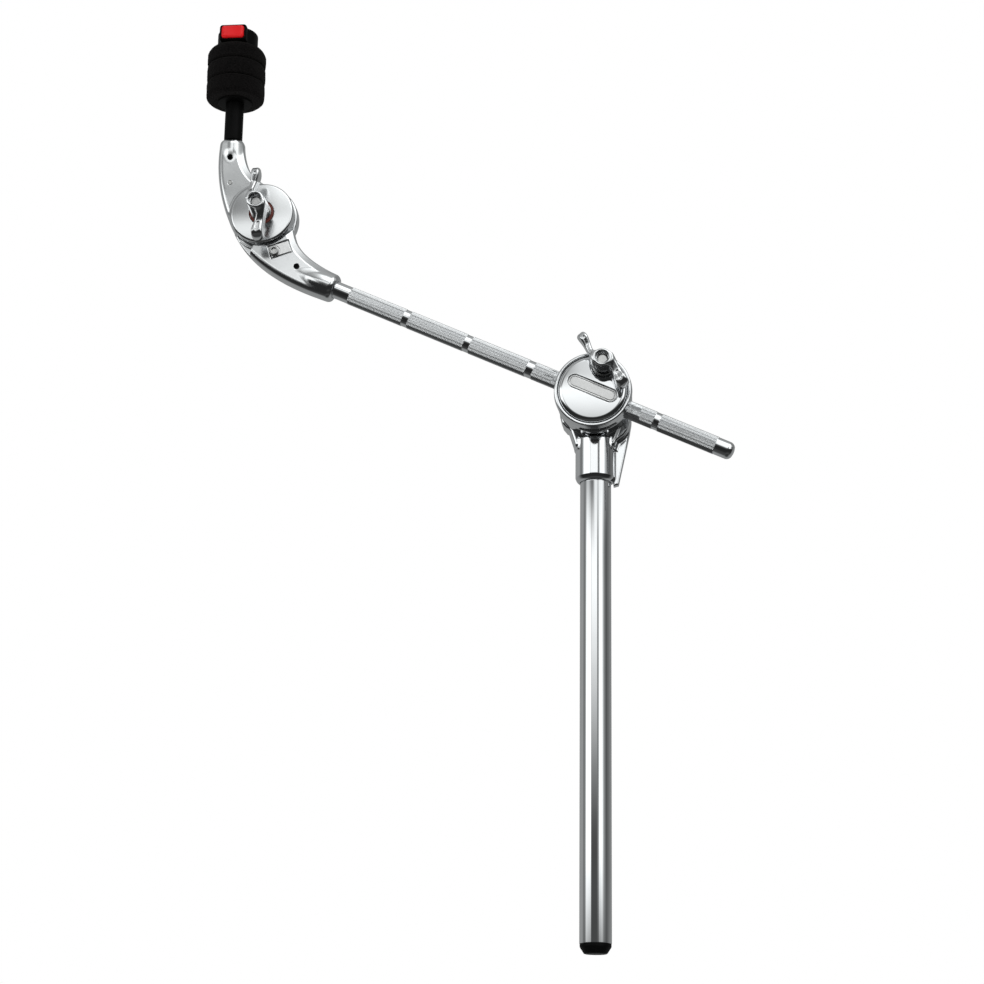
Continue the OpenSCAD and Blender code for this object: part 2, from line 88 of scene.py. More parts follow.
upright = placeFrom((0, 0, 0), (1, 0, 0), (0, 1, 0), (0, 0, 1))
atBoom = placeFrom((0, 0, pivotAt.z), slideAxis, backwards, across)
atRod = placeFrom((tilterAt.x, 0, tilterAt.z), slideAxis, backwards, across)
atTilter = placeFrom((tilterAt.x, 0, tilterAt.z), (1, 0, 0), (0, 1, 0), (0, 0, 1))
atStemArm = placeFrom((tilterAt.x, 0, tilterAt.z), (0, 0, 1), (0, 1, 0), (1, 0, 0))
atStem = placeFrom((stemAt.x, stemAt.y, 0), (1, 0, 0), (0, 1, 0), (0, 0, 1))
atBolt = atBoom @ Matrix.Translation((0, 0, boltOffset))
rodY = stemAt.y


def plug(tree, value, socket):      # links a node, a socket or a sum, or sets a plain value
    if isinstance(value, bpy.types.Node):
        value = value.outputs[0]
    if isinstance(value, Value):
        value = value.socket
    if isinstance(value, bpy.types.NodeSocket):
        tree.links.new(value, socket)
    else:
        socket.default_value = value


def addNode(tree, kind, links=None, **settings):
    node = tree.nodes.new(kind)
    for key, value in settings.items():
        setattr(node, key, value)
    for key, value in (links or {}).items():
        plug(tree, value, node.inputs[key])
    return node


def calc(tree, operation, *values):
    node = addNode(tree, "ShaderNodeMath", dict(enumerate(values)), operation=operation)
    return Value(tree, node.outputs[0])


def arithmetic(operation, swapped=False):
    def run(self, other):
        return calc(self.tree, operation, *((other, self) if swapped else (self, other)))
    return run


class Value:      # a node's output that takes plain arithmetic
    def __init__(self, tree, socket):
        self.tree = tree
        self.socket = socket

    __add__ = arithmetic("ADD")
    __radd__ = arithmetic("ADD", True)
    __sub__ = arithmetic("SUBTRACT")
    __rsub__ = arithmetic("SUBTRACT", True)
    __mul__ = arithmetic("MULTIPLY")
    __rmul__ = arithmetic("MULTIPLY", True)
    __truediv__ = arithmetic("DIVIDE")
    __mod__ = arithmetic("FLOORED_MODULO")
    __lt__ = arithmetic("LESS_THAN")
    __gt__ = arithmetic("GREATER_THAN")


def newMaterial(name, settings):
    mat = bpy.data.materials.new(name)
    mat.use_nodes = True
    shader = mat.node_tree.nodes["Principled BSDF"]
    for key, value in settings.items():
        shader.inputs[key].default_value = value
    return mat, mat.node_tree, shader


def objectNoise(tree, scale, detail=2.0, stretch=(1, 1, 1)):
    coords = addNode(tree, "ShaderNodeTexCoord")
    mapping = addNode(tree, "ShaderNodeMapping", {"Vector": coords.outputs["Object"], "Scale": stretch})
    grain = addNode(tree, "ShaderNodeTexNoise", {"Vector": mapping, "Scale": scale, "Detail": detail})
    return grain.outputs["Fac"]


def roughened(tree, shader, source, low, high):
    span = addNode(tree, "ShaderNodeMapRange", {"Value": source, "To Min": low, "To Max": high})
    plug(tree, span, shader.inputs["Roughness"])


def bumped(tree, shader, source, strength, distance):
    bump = addNode(tree, "ShaderNodeBump", {"Strength": strength, "Distance": distance, "Height": source})
    plug(tree, bump, shader.inputs["Normal"])


def tinted(tree, shader, source, dark, light, start=0.3, stop=0.7):
    ramp = addNode(tree, "ShaderNodeValToRGB", {"Fac": source})
    for element, place, colour in zip(ramp.color_ramp.elements, (start, stop), (dark, light)):
        element.position = place
        element.color = (*colour, 1)
    plug(tree, ramp, shader.inputs["Base Color"])


def metalFinish(name, dark, light, rough, grainScale, peel=0.0, peelScale=120.0):
    mat, tree, shader = newMaterial(name, {"Metallic": 1.0})
    grain = objectNoise(tree, grainScale, 4.0)
    tinted(tree, shader, grain, dark, light)
    roughened(tree, shader, grain, *rough)
    if peel:
        bumped(tree, shader, objectNoise(tree, peelScale), peel, 0.001)
    return mat


def plasticFinish(name, dark, light, rough, grainScale, grainDepth, coat=0.0, shine=0.5):
    mat, tree, shader = newMaterial(name, {
        "Specular IOR Level": shine, "Coat Weight": coat, "Coat Roughness": 0.12})
    cloud = objectNoise(tree, 60.0, 3.0)
    tinted(tree, shader, cloud, dark, light)
    roughened(tree, shader, cloud, *rough)
    bumped(tree, shader, objectNoise(tree, grainScale), grainDepth, 0.0004)
    return mat


def feltFinish():
    mat, tree, shader = newMaterial("pressedFelt", {
        "Roughness": 0.95, "Sheen Weight": 0.05, "Sheen Roughness": 0.6,
        "Sheen Tint": (0.5, 0.48, 0.47, 1), "Specular IOR Level": 0.02})
    wool = objectNoise(tree, 900.0, 6.0, (1, 1, 2.2))
    tinted(tree, shader, wool, (0.0008, 0.0008, 0.0008), (0.009, 0.008, 0.008), 0.35, 0.75)
    bumped(tree, shader, wool, 0.7, 0.0009)
    return mat


finishes = {
    "chrome_plate": metalFinish("chromePlate", (0.76, 0.77, 0.785), (0.81, 0.82, 0.83), (0.015, 0.05), 35.0),
    "plain_steel": metalFinish("plainSteel", (0.50, 0.50, 0.50), (0.66, 0.66, 0.65), (0.16, 0.30), 300.0),
    "satin_steel": metalFinish("satinSteel", (0.66, 0.66, 0.66), (0.76, 0.76, 0.76), (0.22, 0.30), 500.0),
    "black_steel": metalFinish("blackOxide", (0.004, 0.004, 0.004), (0.012, 0.012, 0.012),
                               (0.35, 0.5), 400.0),
    "black_plastic": plasticFinish("blackPlastic", (0.0015, 0.0015, 0.0015), (0.004, 0.004, 0.004),
                                   (0.35, 0.5), 1400.0, 0.15, shine=0.06),
    "white_nylon": plasticFinish("naturalNylon", (0.70, 0.68, 0.60), (0.80, 0.78, 0.71),
                                 (0.4, 0.5), 900.0, 0.1),
    "red_fibre": plasticFinish("redFibre", (0.10, 0.018, 0.012), (0.20, 0.04, 0.028),
                               (0.5, 0.7), 1200.0, 0.3),
    "red_plastic": plasticFinish("redPlastic", (0.70, 0.007, 0.010), (0.82, 0.012, 0.016),
                                 (0.25, 0.35), 800.0, 0.05, 0.10, 0.25),
    "black_felt": feltFinish(),
}
castChrome = metalFinish("castChrome", (0.76, 0.77, 0.785), (0.81, 0.82, 0.83), (0.05, 0.11), 60.0,
                         peel=0.012, peelScale=260.0)
armChrome = metalFinish("armChrome", (0.77, 0.78, 0.79), (0.82, 0.83, 0.84), (0.13, 0.20), 60.0,
                        peel=0.012, peelScale=260.0)
satinChrome = metalFinish("satinChrome", (0.76, 0.77, 0.78), (0.82, 0.83, 0.84), (0.13, 0.19), 220.0,
                          peel=0.02, peelScale=700.0)
print("materials made")


def keepPiece(obj, node, material=None):
    obj.data.materials.clear()
    obj.data.materials.append(material or finishes[slotOf[node]])
    scene.collection.objects.link(obj)
    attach(obj, bodyOf[node])
    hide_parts(node)


def meshPiece(name, verts, faces, place, normals=None, smoothAngle=32.0):
    turn = np.array(place.to_3x3())
    verts = (np.asarray(verts, float) @ turn.T + np.array(place.col[3][:3])) * mm
    if isinstance(faces, np.ndarray):
        faces = faces.tolist()
    if place.to_3x3().determinant() < 0:      # a mirrored place turns the faces over
        faces = [f[::-1] for f in faces]
    mesh = bpy.data.meshes.new(name)
    mesh.from_pydata(verts.tolist(), [], faces)
    mesh.shade_smooth()
    if normals is not None:
        mesh.normals_split_custom_set_from_vertices((normals @ turn.T).tolist())
    else:
        mesh.set_sharp_from_angle(angle=math.radians(smoothAngle))
    return bpy.data.objects.new(name, mesh)


def roundedProfile(points, steps=5):      # radius, height and corner rounding, 0 for a sharp corner
    out = []
    n = len(points)
    for i, (r, h, c) in enumerate(points):
        here = np.array((r, h), float)
        if c <= 0:
            out.append(tuple(here))
            continue
        before = np.array(points[i - 1][:2], float)
        after = np.array(points[(i + 1) % n][:2], float)
        toBefore = before - here
        toAfter = after - here
        a = here + toBefore / np.linalg.norm(toBefore) * c
        b = here + toAfter / np.linalg.norm(toAfter) * c
        for k in range(steps + 1):
            t = k / steps
            out.append(tuple(a * (1 - t) ** 2 + here * 2 * t * (1 - t) + b * t * t))
    return out


def turnedPiece(name, points, place, axis="z", segments=96, closed=True, smoothAngle=32.0):
    profile = roundedProfile(points)      # a ring when closed, else it starts and ends on the axis
    verts = []
    faces = []
    rings = []
    for r, h in profile:
        if r < 1e-6:
            rings.append([len(verts)])
            verts.append((0, 0, h))
            continue
        rings.append(list(range(len(verts), len(verts) + segments)))
        for k in range(segments):
            a = 2 * math.pi * k / segments
            verts.append((r * math.cos(a), r * math.sin(a), h))
    pairs = list(zip(rings, rings[1:] + ([rings[0]] if closed else [])))
    if not closed:
        pairs = pairs[:len(rings) - 1]
    for a, b in pairs:
        for k in range(segments):
            m = (k + 1) % segments
            if len(a) == 1 and len(b) == 1:
                continue
            if len(a) == 1:
                faces.append((a[0], b[m], b[k]))
            elif len(b) == 1:
                faces.append((a[k], a[m], b[0]))
            else:
                faces.append((a[k], a[m], b[m], b[k]))
    if axis == "y":
        verts = [(x, z, -y) for x, y, z in verts]
    obj = meshPiece(name, verts, faces, place, smoothAngle=smoothAngle)
    return outwards(obj)


def outwards(obj):
    work = bmesh.new()
    work.from_mesh(obj.data)
    bmesh.ops.recalc_face_normals(work, faces=work.faces)
    work.to_mesh(obj.data)
    work.free()
    return obj


def keepTurned(name, node, points, place, **how):
    keepPiece(turnedPiece(name, points, place, **how), node)


def melt(a, b, r):      # union with a fillet
    if r <= 0:
        return np.minimum(a, b)
    return np.maximum(r, np.minimum(a, b)) - np.hypot(np.maximum(r - a, 0), np.maximum(r - b, 0))


def trim(a, b, r):      # intersection with a rounded edge
    if r <= 0:
        return np.maximum(a, b)
    return np.minimum(-r, np.maximum(a, b)) + np.hypot(np.maximum(r + a, 0), np.maximum(r + b, 0))


def cutAway(a, b, r):
    return trim(a, -b, r)


def easeStep(x, start, stop):
    t = np.clip((x - start) / (stop - start), 0, 1)
    return t * t * (3 - 2 * t)


def cubicPoints(a, b, c, d, n=48):
    t = np.linspace(0, 1, n)[:, None]
    a, b, c, d = (np.array(p, float) for p in (a, b, c, d))
    return a * (1 - t) ** 3 + b * 3 * t * (1 - t) ** 2 + c * 3 * t * t * (1 - t) + d * t ** 3


def outlineField(points, margin=14.0, step=0.3, window=None):      # signed distance, from a fine grid
    pts = np.vstack([np.atleast_2d(np.array(p, float)) for p in points])
    low = np.array(window[0], float) if window else pts.min(0) - margin
    high = np.array(window[1], float) if window else pts.max(0) + margin
    us = np.arange(low[0], high[0] + step, step)
    vs = np.arange(low[1], high[1] + step, step)
    u, v = np.meshgrid(us, vs, indexing="ij")
    best = np.full(u.shape, 1e9)
    inside = np.zeros(u.shape, bool)
    for (ax, ay), (bx, by) in zip(pts, np.roll(pts, -1, 0)):
        dx, dy = bx - ax, by - ay
        span = dx * dx + dy * dy
        if span < 1e-12:
            continue
        t = np.clip(((u - ax) * dx + (v - ay) * dy) / span, 0, 1)
        best = np.minimum(best, (u - ax - t * dx) ** 2 + (v - ay - t * dy) ** 2)
        if ay != by:
            crosses = ((ay > v) != (by > v)) & (u < dx * (v - ay) / dy + ax)
            inside ^= crosses
    grid = np.sqrt(best) * np.where(inside, -1, 1)

    def look(p, q):
        i = np.clip((p - us[0]) / step, 0, len(us) - 1.001)
        j = np.clip((q - vs[0]) / step, 0, len(vs) - 1.001)
        i0 = i.astype(int)
        j0 = j.astype(int)
        i -= i0
        j -= j0
        return ((grid[i0, j0] * (1 - i) + grid[i0 + 1, j0] * i) * (1 - j)
                + (grid[i0, j0 + 1] * (1 - i) + grid[i0 + 1, j0 + 1] * i) * j)
    return look


def castPiece(name, field, low, high, cell, place):
    cell = cell * coarse
    low = np.array(low, float) - 1.5 * cell
    high = np.array(high, float) + 1.5 * cell
    block = 8
    counts = np.ceil((high - low) / (cell * block)).astype(int)
    dims = counts * block + 1
    centres = np.stack(np.meshgrid(*[(np.arange(c) + 0.5) * block * cell for c in counts], indexing="ij"), -1)
    centres = centres.reshape(-1, 3) + low
    rough = field(centres)
    near = np.abs(rough) < block * cell * 0.87 * 1.35
    volume = np.repeat(np.repeat(np.repeat(rough.reshape(counts), block, 0), block, 1), block, 2)
    volume = np.pad(volume, ((0, 1),) * 3, mode="edge")
    step = np.stack(np.meshgrid(*[np.arange(block + 1)] * 3, indexing="ij"), -1).reshape(-1, 3)
    corner = np.argwhere(near.reshape(counts)) * block
    for part in np.array_split(corner, max(1, len(corner) // 400)):
        at = (part[:, None, :] + step[None]).reshape(-1, 3)
        volume[at[:, 0], at[:, 1], at[:, 2]] = field(at * cell + low)
    offsets = np.array([(i, j, k) for i in (0, 1) for j in (0, 1) for k in (0, 1)])
    negative = volume < 0
    spans = [tuple(slice(o, d - 1 + o) for o, d in zip(offset, dims)) for offset in offsets]
    total = sum(negative[span].astype(np.int8) for span in spans)
    cells = np.argwhere((total > 0) & (total < 8))      # one vertex in each crossed cell
    index = np.full(dims - 1, -1, int)
    index[cells[:, 0], cells[:, 1], cells[:, 2]] = np.arange(len(cells))
    values = np.stack([volume[tuple((cells + o).T)] for o in offsets], 1)
    verts = np.zeros((len(cells), 3))
    hits = np.zeros(len(cells))
    for a in range(8):
        for b in range(a + 1, 8):
            if np.abs(offsets[a] - offsets[b]).sum() != 1:
                continue
            cross = (values[:, a] < 0) != (values[:, b] < 0)
            t = np.where(cross, values[:, a] / np.where(cross, values[:, a] - values[:, b], 1), 0)
            verts += np.where(cross[:, None], offsets[a] + t[:, None] * (offsets[b] - offsets[a]), 0)
            hits += cross
    verts = (cells + verts / hits[:, None]) * cell + low
    quads = []      # one face round each crossed grid edge
    for axis in range(3):
        u, v = [a for a in range(3) if a != axis]
        size = [slice(1, d - 1) for d in dims]
        size[axis] = slice(0, dims[axis] - 1)
        ahead = list(size)
        ahead[axis] = slice(1, dims[axis])
        here = negative[tuple(size)]
        there = negative[tuple(ahead)]
        for sense in (True, False):
            at = np.argwhere((here == sense) & (there != sense))
            at[:, u] += 1
            at[:, v] += 1
            ring = []
            for du, dv in ((-1, -1), (0, -1), (0, 0), (-1, 0)):
                c = at.copy()
                c[:, u] += du
                c[:, v] += dv
                ring.append(index[c[:, 0], c[:, 1], c[:, 2]])
            ring = np.stack(ring, 1)
            if sense == (axis == 1):
                ring = ring[:, ::-1]
            quads.append(ring)
    quads = np.vstack(quads)
    quads = quads[(quads >= 0).all(1)]
    for _ in range(3):
        slope = slopeOf(field, verts, 0.06)
        move = (field(verts) / np.maximum((slope ** 2).sum(1), 0.2))[:, None] * slope
        verts -= np.clip(move, -0.6 * cell, 0.6 * cell)
    normals = slopeOf(field, verts, 0.16)
    normals /= np.maximum(np.linalg.norm(normals, axis=1), 1e-9)[:, None]
    print("cast", name, len(quads) * 2, "triangles")
    return meshPiece(name, verts, quads, place, normals)


def slopeOf(field, at, h):
    out = np.empty_like(at)
    for axis in range(3):
        shift = np.zeros(3)
        shift[axis] = h
        out[:, axis] = (field(at + shift) - field(at - shift)) / (2 * h)
    return out


tubeSet = {"radius": 11.1, "neck": 10.85, "wall": 1.5, "top": 350.0, "shoulder": 325.2}
plugSet = {"body": 9.1, "rib": 9.55, "ribsAt": (3, 7, 11), "tip": 7.9, "low": -6.8, "high": 15.9}


def buildTube():
    s = tubeSet
    inner = s["radius"] - s["wall"]
    keepTurned("postTube", "tube", [
        (inner, 0, 0.25), (s["radius"], 0, 0.3), (s["radius"], s["shoulder"], 0.2),
        (s["neck"], s["shoulder"], 0), (s["neck"], s["top"], 0.3), (inner, s["top"], 0.2)],
        upright, segments=160)
    s = plugSet
    ribs = [(r, at + h, c) for at in s["ribsAt"]
            for r, h, c in ((s["body"], 0, 0), (s["rib"], 0.5, 0.2), (s["body"], 1.2, 0))]
    keepTurned("tubeEndPlug", "tube_plug", [
        (0, s["low"], 0), (s["tip"], s["low"], 0.7), (10.85, -2.2, 0.5), (10.85, -0.05, 0.25),
        (s["body"], -0.05, 0), *ribs, (s["body"], s["high"], 0.6), (0, s["high"], 0)], upright, closed=False)


buildTube()
print("tube made")


baseSet = {"headRadius": 26.5, "half": 9.0, "edge": 1.6, "collarRadius": 15.0, "collarFrom": 325.5,
           "collarMid": 341.5, "collarHalf": 16.0, "bore": 10.92, "boreTop": 350, "mouth": 12.7,
           "pivotBore": 8.0, "slotHalf": 4.3, "slotFrom": 14, "slotTo": 124, "cell": 0.5}


def buildTilterBase():
    s = baseSet
    pz = pivotAt.z
    shoulders = outlineField([
        (-25.2, pz), (-25.2, 374), (-23.6, 369), (-20.8, 365.5), (-17, 363.5), (-15, 356), (-14, 352),
        (14, 352), (15.5, 355), (20.5, 359), (23.4, 363), (25.2, 369), (25.8, pz)])
    gusset = outlineField([(10, 372), (25.4, 372), (24.6, 362), (16.6, 323.8), (12.8, 322.8), (12.8, 350)])

    def field(p):
        x, y, z = p.T
        slab = np.abs(y) - s["half"]
        head = trim(melt(np.hypot(x, z - pz) - s["headRadius"], shoulders(x, z), 1.0), slab, s["edge"])
        radial = np.hypot(x, y)
        collar = trim(radial - s["collarRadius"], np.abs(z - s["collarMid"]) - s["collarHalf"], 0.9)
        lip = radial - (s["collarRadius"] - 2.6 * np.clip((s["collarFrom"] + 4 - z) / 4, 0, 1))
        collar = trim(collar, lip * 0.84, 1.6)
        flare = s["collarRadius"] + 4.5 * np.clip((z - 350) / 14, 0, 1)
        funnel = np.maximum(radial - flare, np.abs(z - 357) - 7)
        funnel = trim(funnel, -(y + s["half"]), 1.0)
        fin = trim(gusset(x, z), np.abs(y) - 3.0, 1.2)
        body = melt(melt(head, funnel, 1.5), melt(collar, fin, 1.6), 2.0)
        body = cutAway(body, np.maximum(radial - s["bore"], z - s["boreTop"]), 0.5)
        mouth = radial - (s["mouth"] - 1.8 * np.clip((z - 321.5) / 5.5, 0, 1))
        body = cutAway(body, np.maximum(mouth, z - 328), 0.4)
        body = cutAway(body, np.hypot(x, z - pz) - s["pivotBore"], 0.5)
        angle = np.degrees(np.arctan2(z - pz, x))
        sector = np.maximum(-(angle + s["slotFrom"]), angle - s["slotTo"]) * 0.33      # about mm from degrees
        slot = np.maximum(np.abs(np.hypot(x, z - pz) - boltOffset) - s["slotHalf"], sector)
        return cutAway(body, slot, 0.6)

    obj = castPiece("tilterBase", field, (-27, -15.5, 322), (27, 15.5, 412), s["cell"], upright)
    keepPiece(obj, "tilter_base", castChrome)


buildTilterBase()


clampSet = {"rearRadius": 27.0, "rearMid": 15.4, "rearHalf": 6.1, "trunnion": 7.95, "frontRadius": 27.6,
            "frontMid": 29.25, "frontHalf": 6.75, "pocket": 25.25, "pocketFloor": 32.5, "boss": 8.2,
            "grooveRadius": 6.6, "boltHole": 4.1, "pivotHole": 3.05, "cell": 0.5}


def buildClamp():
    s = clampSet
    groove = s["grooveRadius"]

    def rearField(p):
        x, y, z = p.T
        r = np.hypot(x, z)
        body = trim(r - s["rearRadius"], np.abs(y + s["rearMid"]) - s["rearHalf"], 1.3)
        body = cutAway(body, np.maximum(r - 14.4, -(y + 10.2)), 0.3)
        body = melt(body, trim(r - s["trunnion"], np.abs(y + 2.0) - 11.4, 0.6), 0.4)
        body = cutAway(body, np.hypot(y - rodY, z) - groove, 0.8)
        body = cutAway(body, np.hypot(x, z - boltOffset) - s["boltHole"], 0.5)
        return cutAway(body, np.maximum(r - s["pivotHole"], -(y + 11)), 0.3)

    def frontField(p):
        x, y, z = p.T
        r = np.hypot(x, z)
        body = trim(r - s["frontRadius"], np.abs(y + s["frontMid"]) - s["frontHalf"], 1.0)
        bead = np.hypot(r - 26.9, y + 30.2) - 1.1      # raised bead round the rim
        body = melt(body, bead, 0.5)
        body = cutAway(body, np.hypot(r - 28.3, y + 33.2) - 1.05, 0.4)
        pocket = np.maximum(r - s["pocket"], y + s["pocketFloor"])
        boss = np.hypot(x, z - boltOffset) - s["boss"]
        pocket = cutAway(pocket, np.maximum(boss, -(y + 35.9)), 0.4)
        body = cutAway(body, pocket, 0.7)
        lip = np.maximum(np.maximum(r - 27.0, np.abs(y + 23.2) - 1.6), np.maximum(np.abs(x) - 15, z + 19.6))
        body = melt(body, lip, 0.6)
        body = cutAway(body, np.hypot(y - rodY, z) - groove, 0.8)
        return cutAway(body, np.hypot(x, z - boltOffset) - s["boltHole"], 0.5)

    rear = castPiece("clampRear", rearField, (-27, -21.6, -27), (27, 9.5, 27), s["cell"], atBoom)
    keepPiece(rear, "clamp_rear", castChrome)
    front = castPiece("clampFront", frontField, (-28, -36.1, -28), (28, -21.4, 28), s["cell"], atBoom)
    keepPiece(front, "clamp_front", castChrome)


buildClamp()

domeSet = {"radius": 25.0, "seat": -32.5, "crown": -38.4, "crownRadius": 400.0, "shoulder": 3.6, "notch": 9.4,
           "plateLength": 37.5, "plateWidth": 10.0, "recess": 1.0, "cell": 0.42}


def buildDome():
    s = domeSet

    def stadium(x, z, shrink):
        length = s["plateLength"] - shrink
        width = s["plateWidth"] - shrink
        return np.hypot(np.maximum(np.abs(x) - (length - width) / 2, 0), z) - width / 2

    def crown(x, y, z):
        return np.sqrt(x ** 2 + z ** 2 + (y - s["crown"] - s["crownRadius"]) ** 2) - s["crownRadius"]

    def field(p):
        x, y, z = p.T
        shell = crown(x, y, z)
        body = trim(trim(np.hypot(x, z) - s["radius"], shell, s["shoulder"]), y - s["seat"], 0.3)
        body = cutAway(body, np.hypot(x, z - boltOffset) - s["notch"], 0.9)
        return cutAway(body, np.maximum(stadium(x, z, 0), -s["recess"] - shell), 0.55)

    obj = castPiece("domeCover", field, (-25.1, -39, -25.1), (25.1, -32.4, 25.1), s["cell"], atBoom)
    keepPiece(obj, "dome_cover", finishes["chrome_plate"])

    def plateField(p):
        x, y, z = p.T
        shell = crown(x, y, z)
        flat = trim(stadium(x, z, 0.6), np.abs(shell + 0.665) - 0.315, 0.28)
        groove = np.abs(stadium(x, z, 3.0)) - 0.25
        return cutAway(flat, np.maximum(groove, -0.52 - shell), 0.1)

    plate = castPiece("blankPlate", plateField, (-19, -38.2, -5), (19, -36.2, 5), 0.28, atBoom)
    keepPiece(plate, "badge_plate")


buildDome()
print("boom tilter made")


wingSet = {"hub": 7.4, "bore": 4.0, "mouth": 4.8, "lean": 4.2, "thin": (2.2, 2.9), "thick": (3.1, 4.2),
           "edge": 1.6, "tip": 6.5, "cell": 0.4}


def wingField(seatY, noseY, reach, sweep, leanSide):
    s = wingSet
    top = noseY + sweep
    side = outlineField([
        cubicPoints((2, noseY + 14), (10, noseY + 12), (17, top + 7), (reach - 2.5, top + 6), 40),
        cubicPoints((reach, top + 3.5), (reach, top - 3), (reach - 3, top - 5.4), (reach - 7, top - 5), 20),
        cubicPoints((16, top - 4), (12, noseY + sweep / 2), (8, noseY + 0.9), (2, noseY + 0.9), 40)],
        margin=16)

    def field(p):
        x, y, z = p.T
        r = np.hypot(x, z)
        taper = s["hub"] - 0.9 * np.clip((seatY - y) / (seatY - noseY), 0, 1)
        hub = trim(r - taper, np.abs(y - (seatY + noseY) / 2) - (seatY - noseY) / 2, 1.3)
        out = np.abs(z)
        lean = s["lean"] * (1 - easeStep(out, 3, reach * 0.85)) * leanSide
        off = np.abs(x * np.sign(z) - lean)
        thin = np.where(z > 0, s["thin"][0], s["thin"][1])
        thick = np.where(z > 0, s["thick"][0], s["thick"][1])
        thick = thin + (thick - thin) * easeStep(out, reach * 0.35, reach * 0.85)
        blade = trim(side(out, y), off - thick, s["edge"])
        blade = trim(blade, np.hypot(np.maximum(out - (reach - s["tip"]), 0), off) - s["tip"], 0.6)
        body = melt(hub, blade, 3.6)
        groove = np.hypot(np.maximum(np.abs(out - (reach - 8.5)) - 2.6, 0), off) - 1.1
        front = side(out, y) + 0.9
        body = cutAway(body, np.maximum(groove, np.maximum(-front, y - (noseY + sweep))), 0.35)
        body = cutAway(body, r - s["bore"], 0.4)
        body = trim(body, noseY - y, 0.5)
        return cutAway(body, np.maximum(r - s["mouth"], y - (noseY + 5)), 0.7)
    return field


def buildWingNuts():
    s = wingSet
    boomTurn = atBolt @ Matrix.Rotation(math.radians(-39.5) + math.atan2(slideAxis.z, slideAxis.x), 4, "Y")
    field = wingField(-37.7, -56, 26, 6.5, -1)
    nut = castPiece("boomWingNut", field, (-9, -57, -27), (9, -37, 27), s["cell"], boomTurn)
    keepPiece(nut, "boom_wing_nut", satinChrome)
    field = wingField(-38.1, -58, 28.5, 8.5, -1)
    tilterTurn = atTilter @ Matrix.Rotation(math.radians(-3.5), 4, "Y")
    nut = castPiece("tilterWingNut", field, (-9, -59, -29.5), (9, -37.5, 29.5), s["cell"], tilterTurn)
    keepPiece(nut, "tilter_wing_nut", satinChrome)


buildWingNuts()
print("wing nuts made")


armSet = {"half": 8.5, "outerEdge": 4.6, "bevelAcross": 5.6, "bevelDeep": 4.2, "crease": 0.8, "endEdge": 4.2,
          "boltHole": 4.3, "springWell": 8.2, "pinRadius": 2.0, "far": 60, "high": 120, "cell": 0.45}
lowerSet = {"offset": 30.4, "socket": 10.0, "end": 75.5, "bore": 6.42, "boreFrom": 26.4, "pin": (42.6, -27.5),
            "pinFloor": -27.4, "disc": 24.8, "discY": (-21.4, -11.0), "relief": 25.4, "reliefIsFront": True}
upperSet = {"offset": 26.5, "socket": 8.8, "end": 62.5, "bore": 4.06, "boreFrom": 34.0, "pin": (46.8, -26.5),
            "pinFloor": -25.0, "disc": 23.5, "discY": (-33.0, -22.6), "relief": 25.4, "reliefIsFront": False}


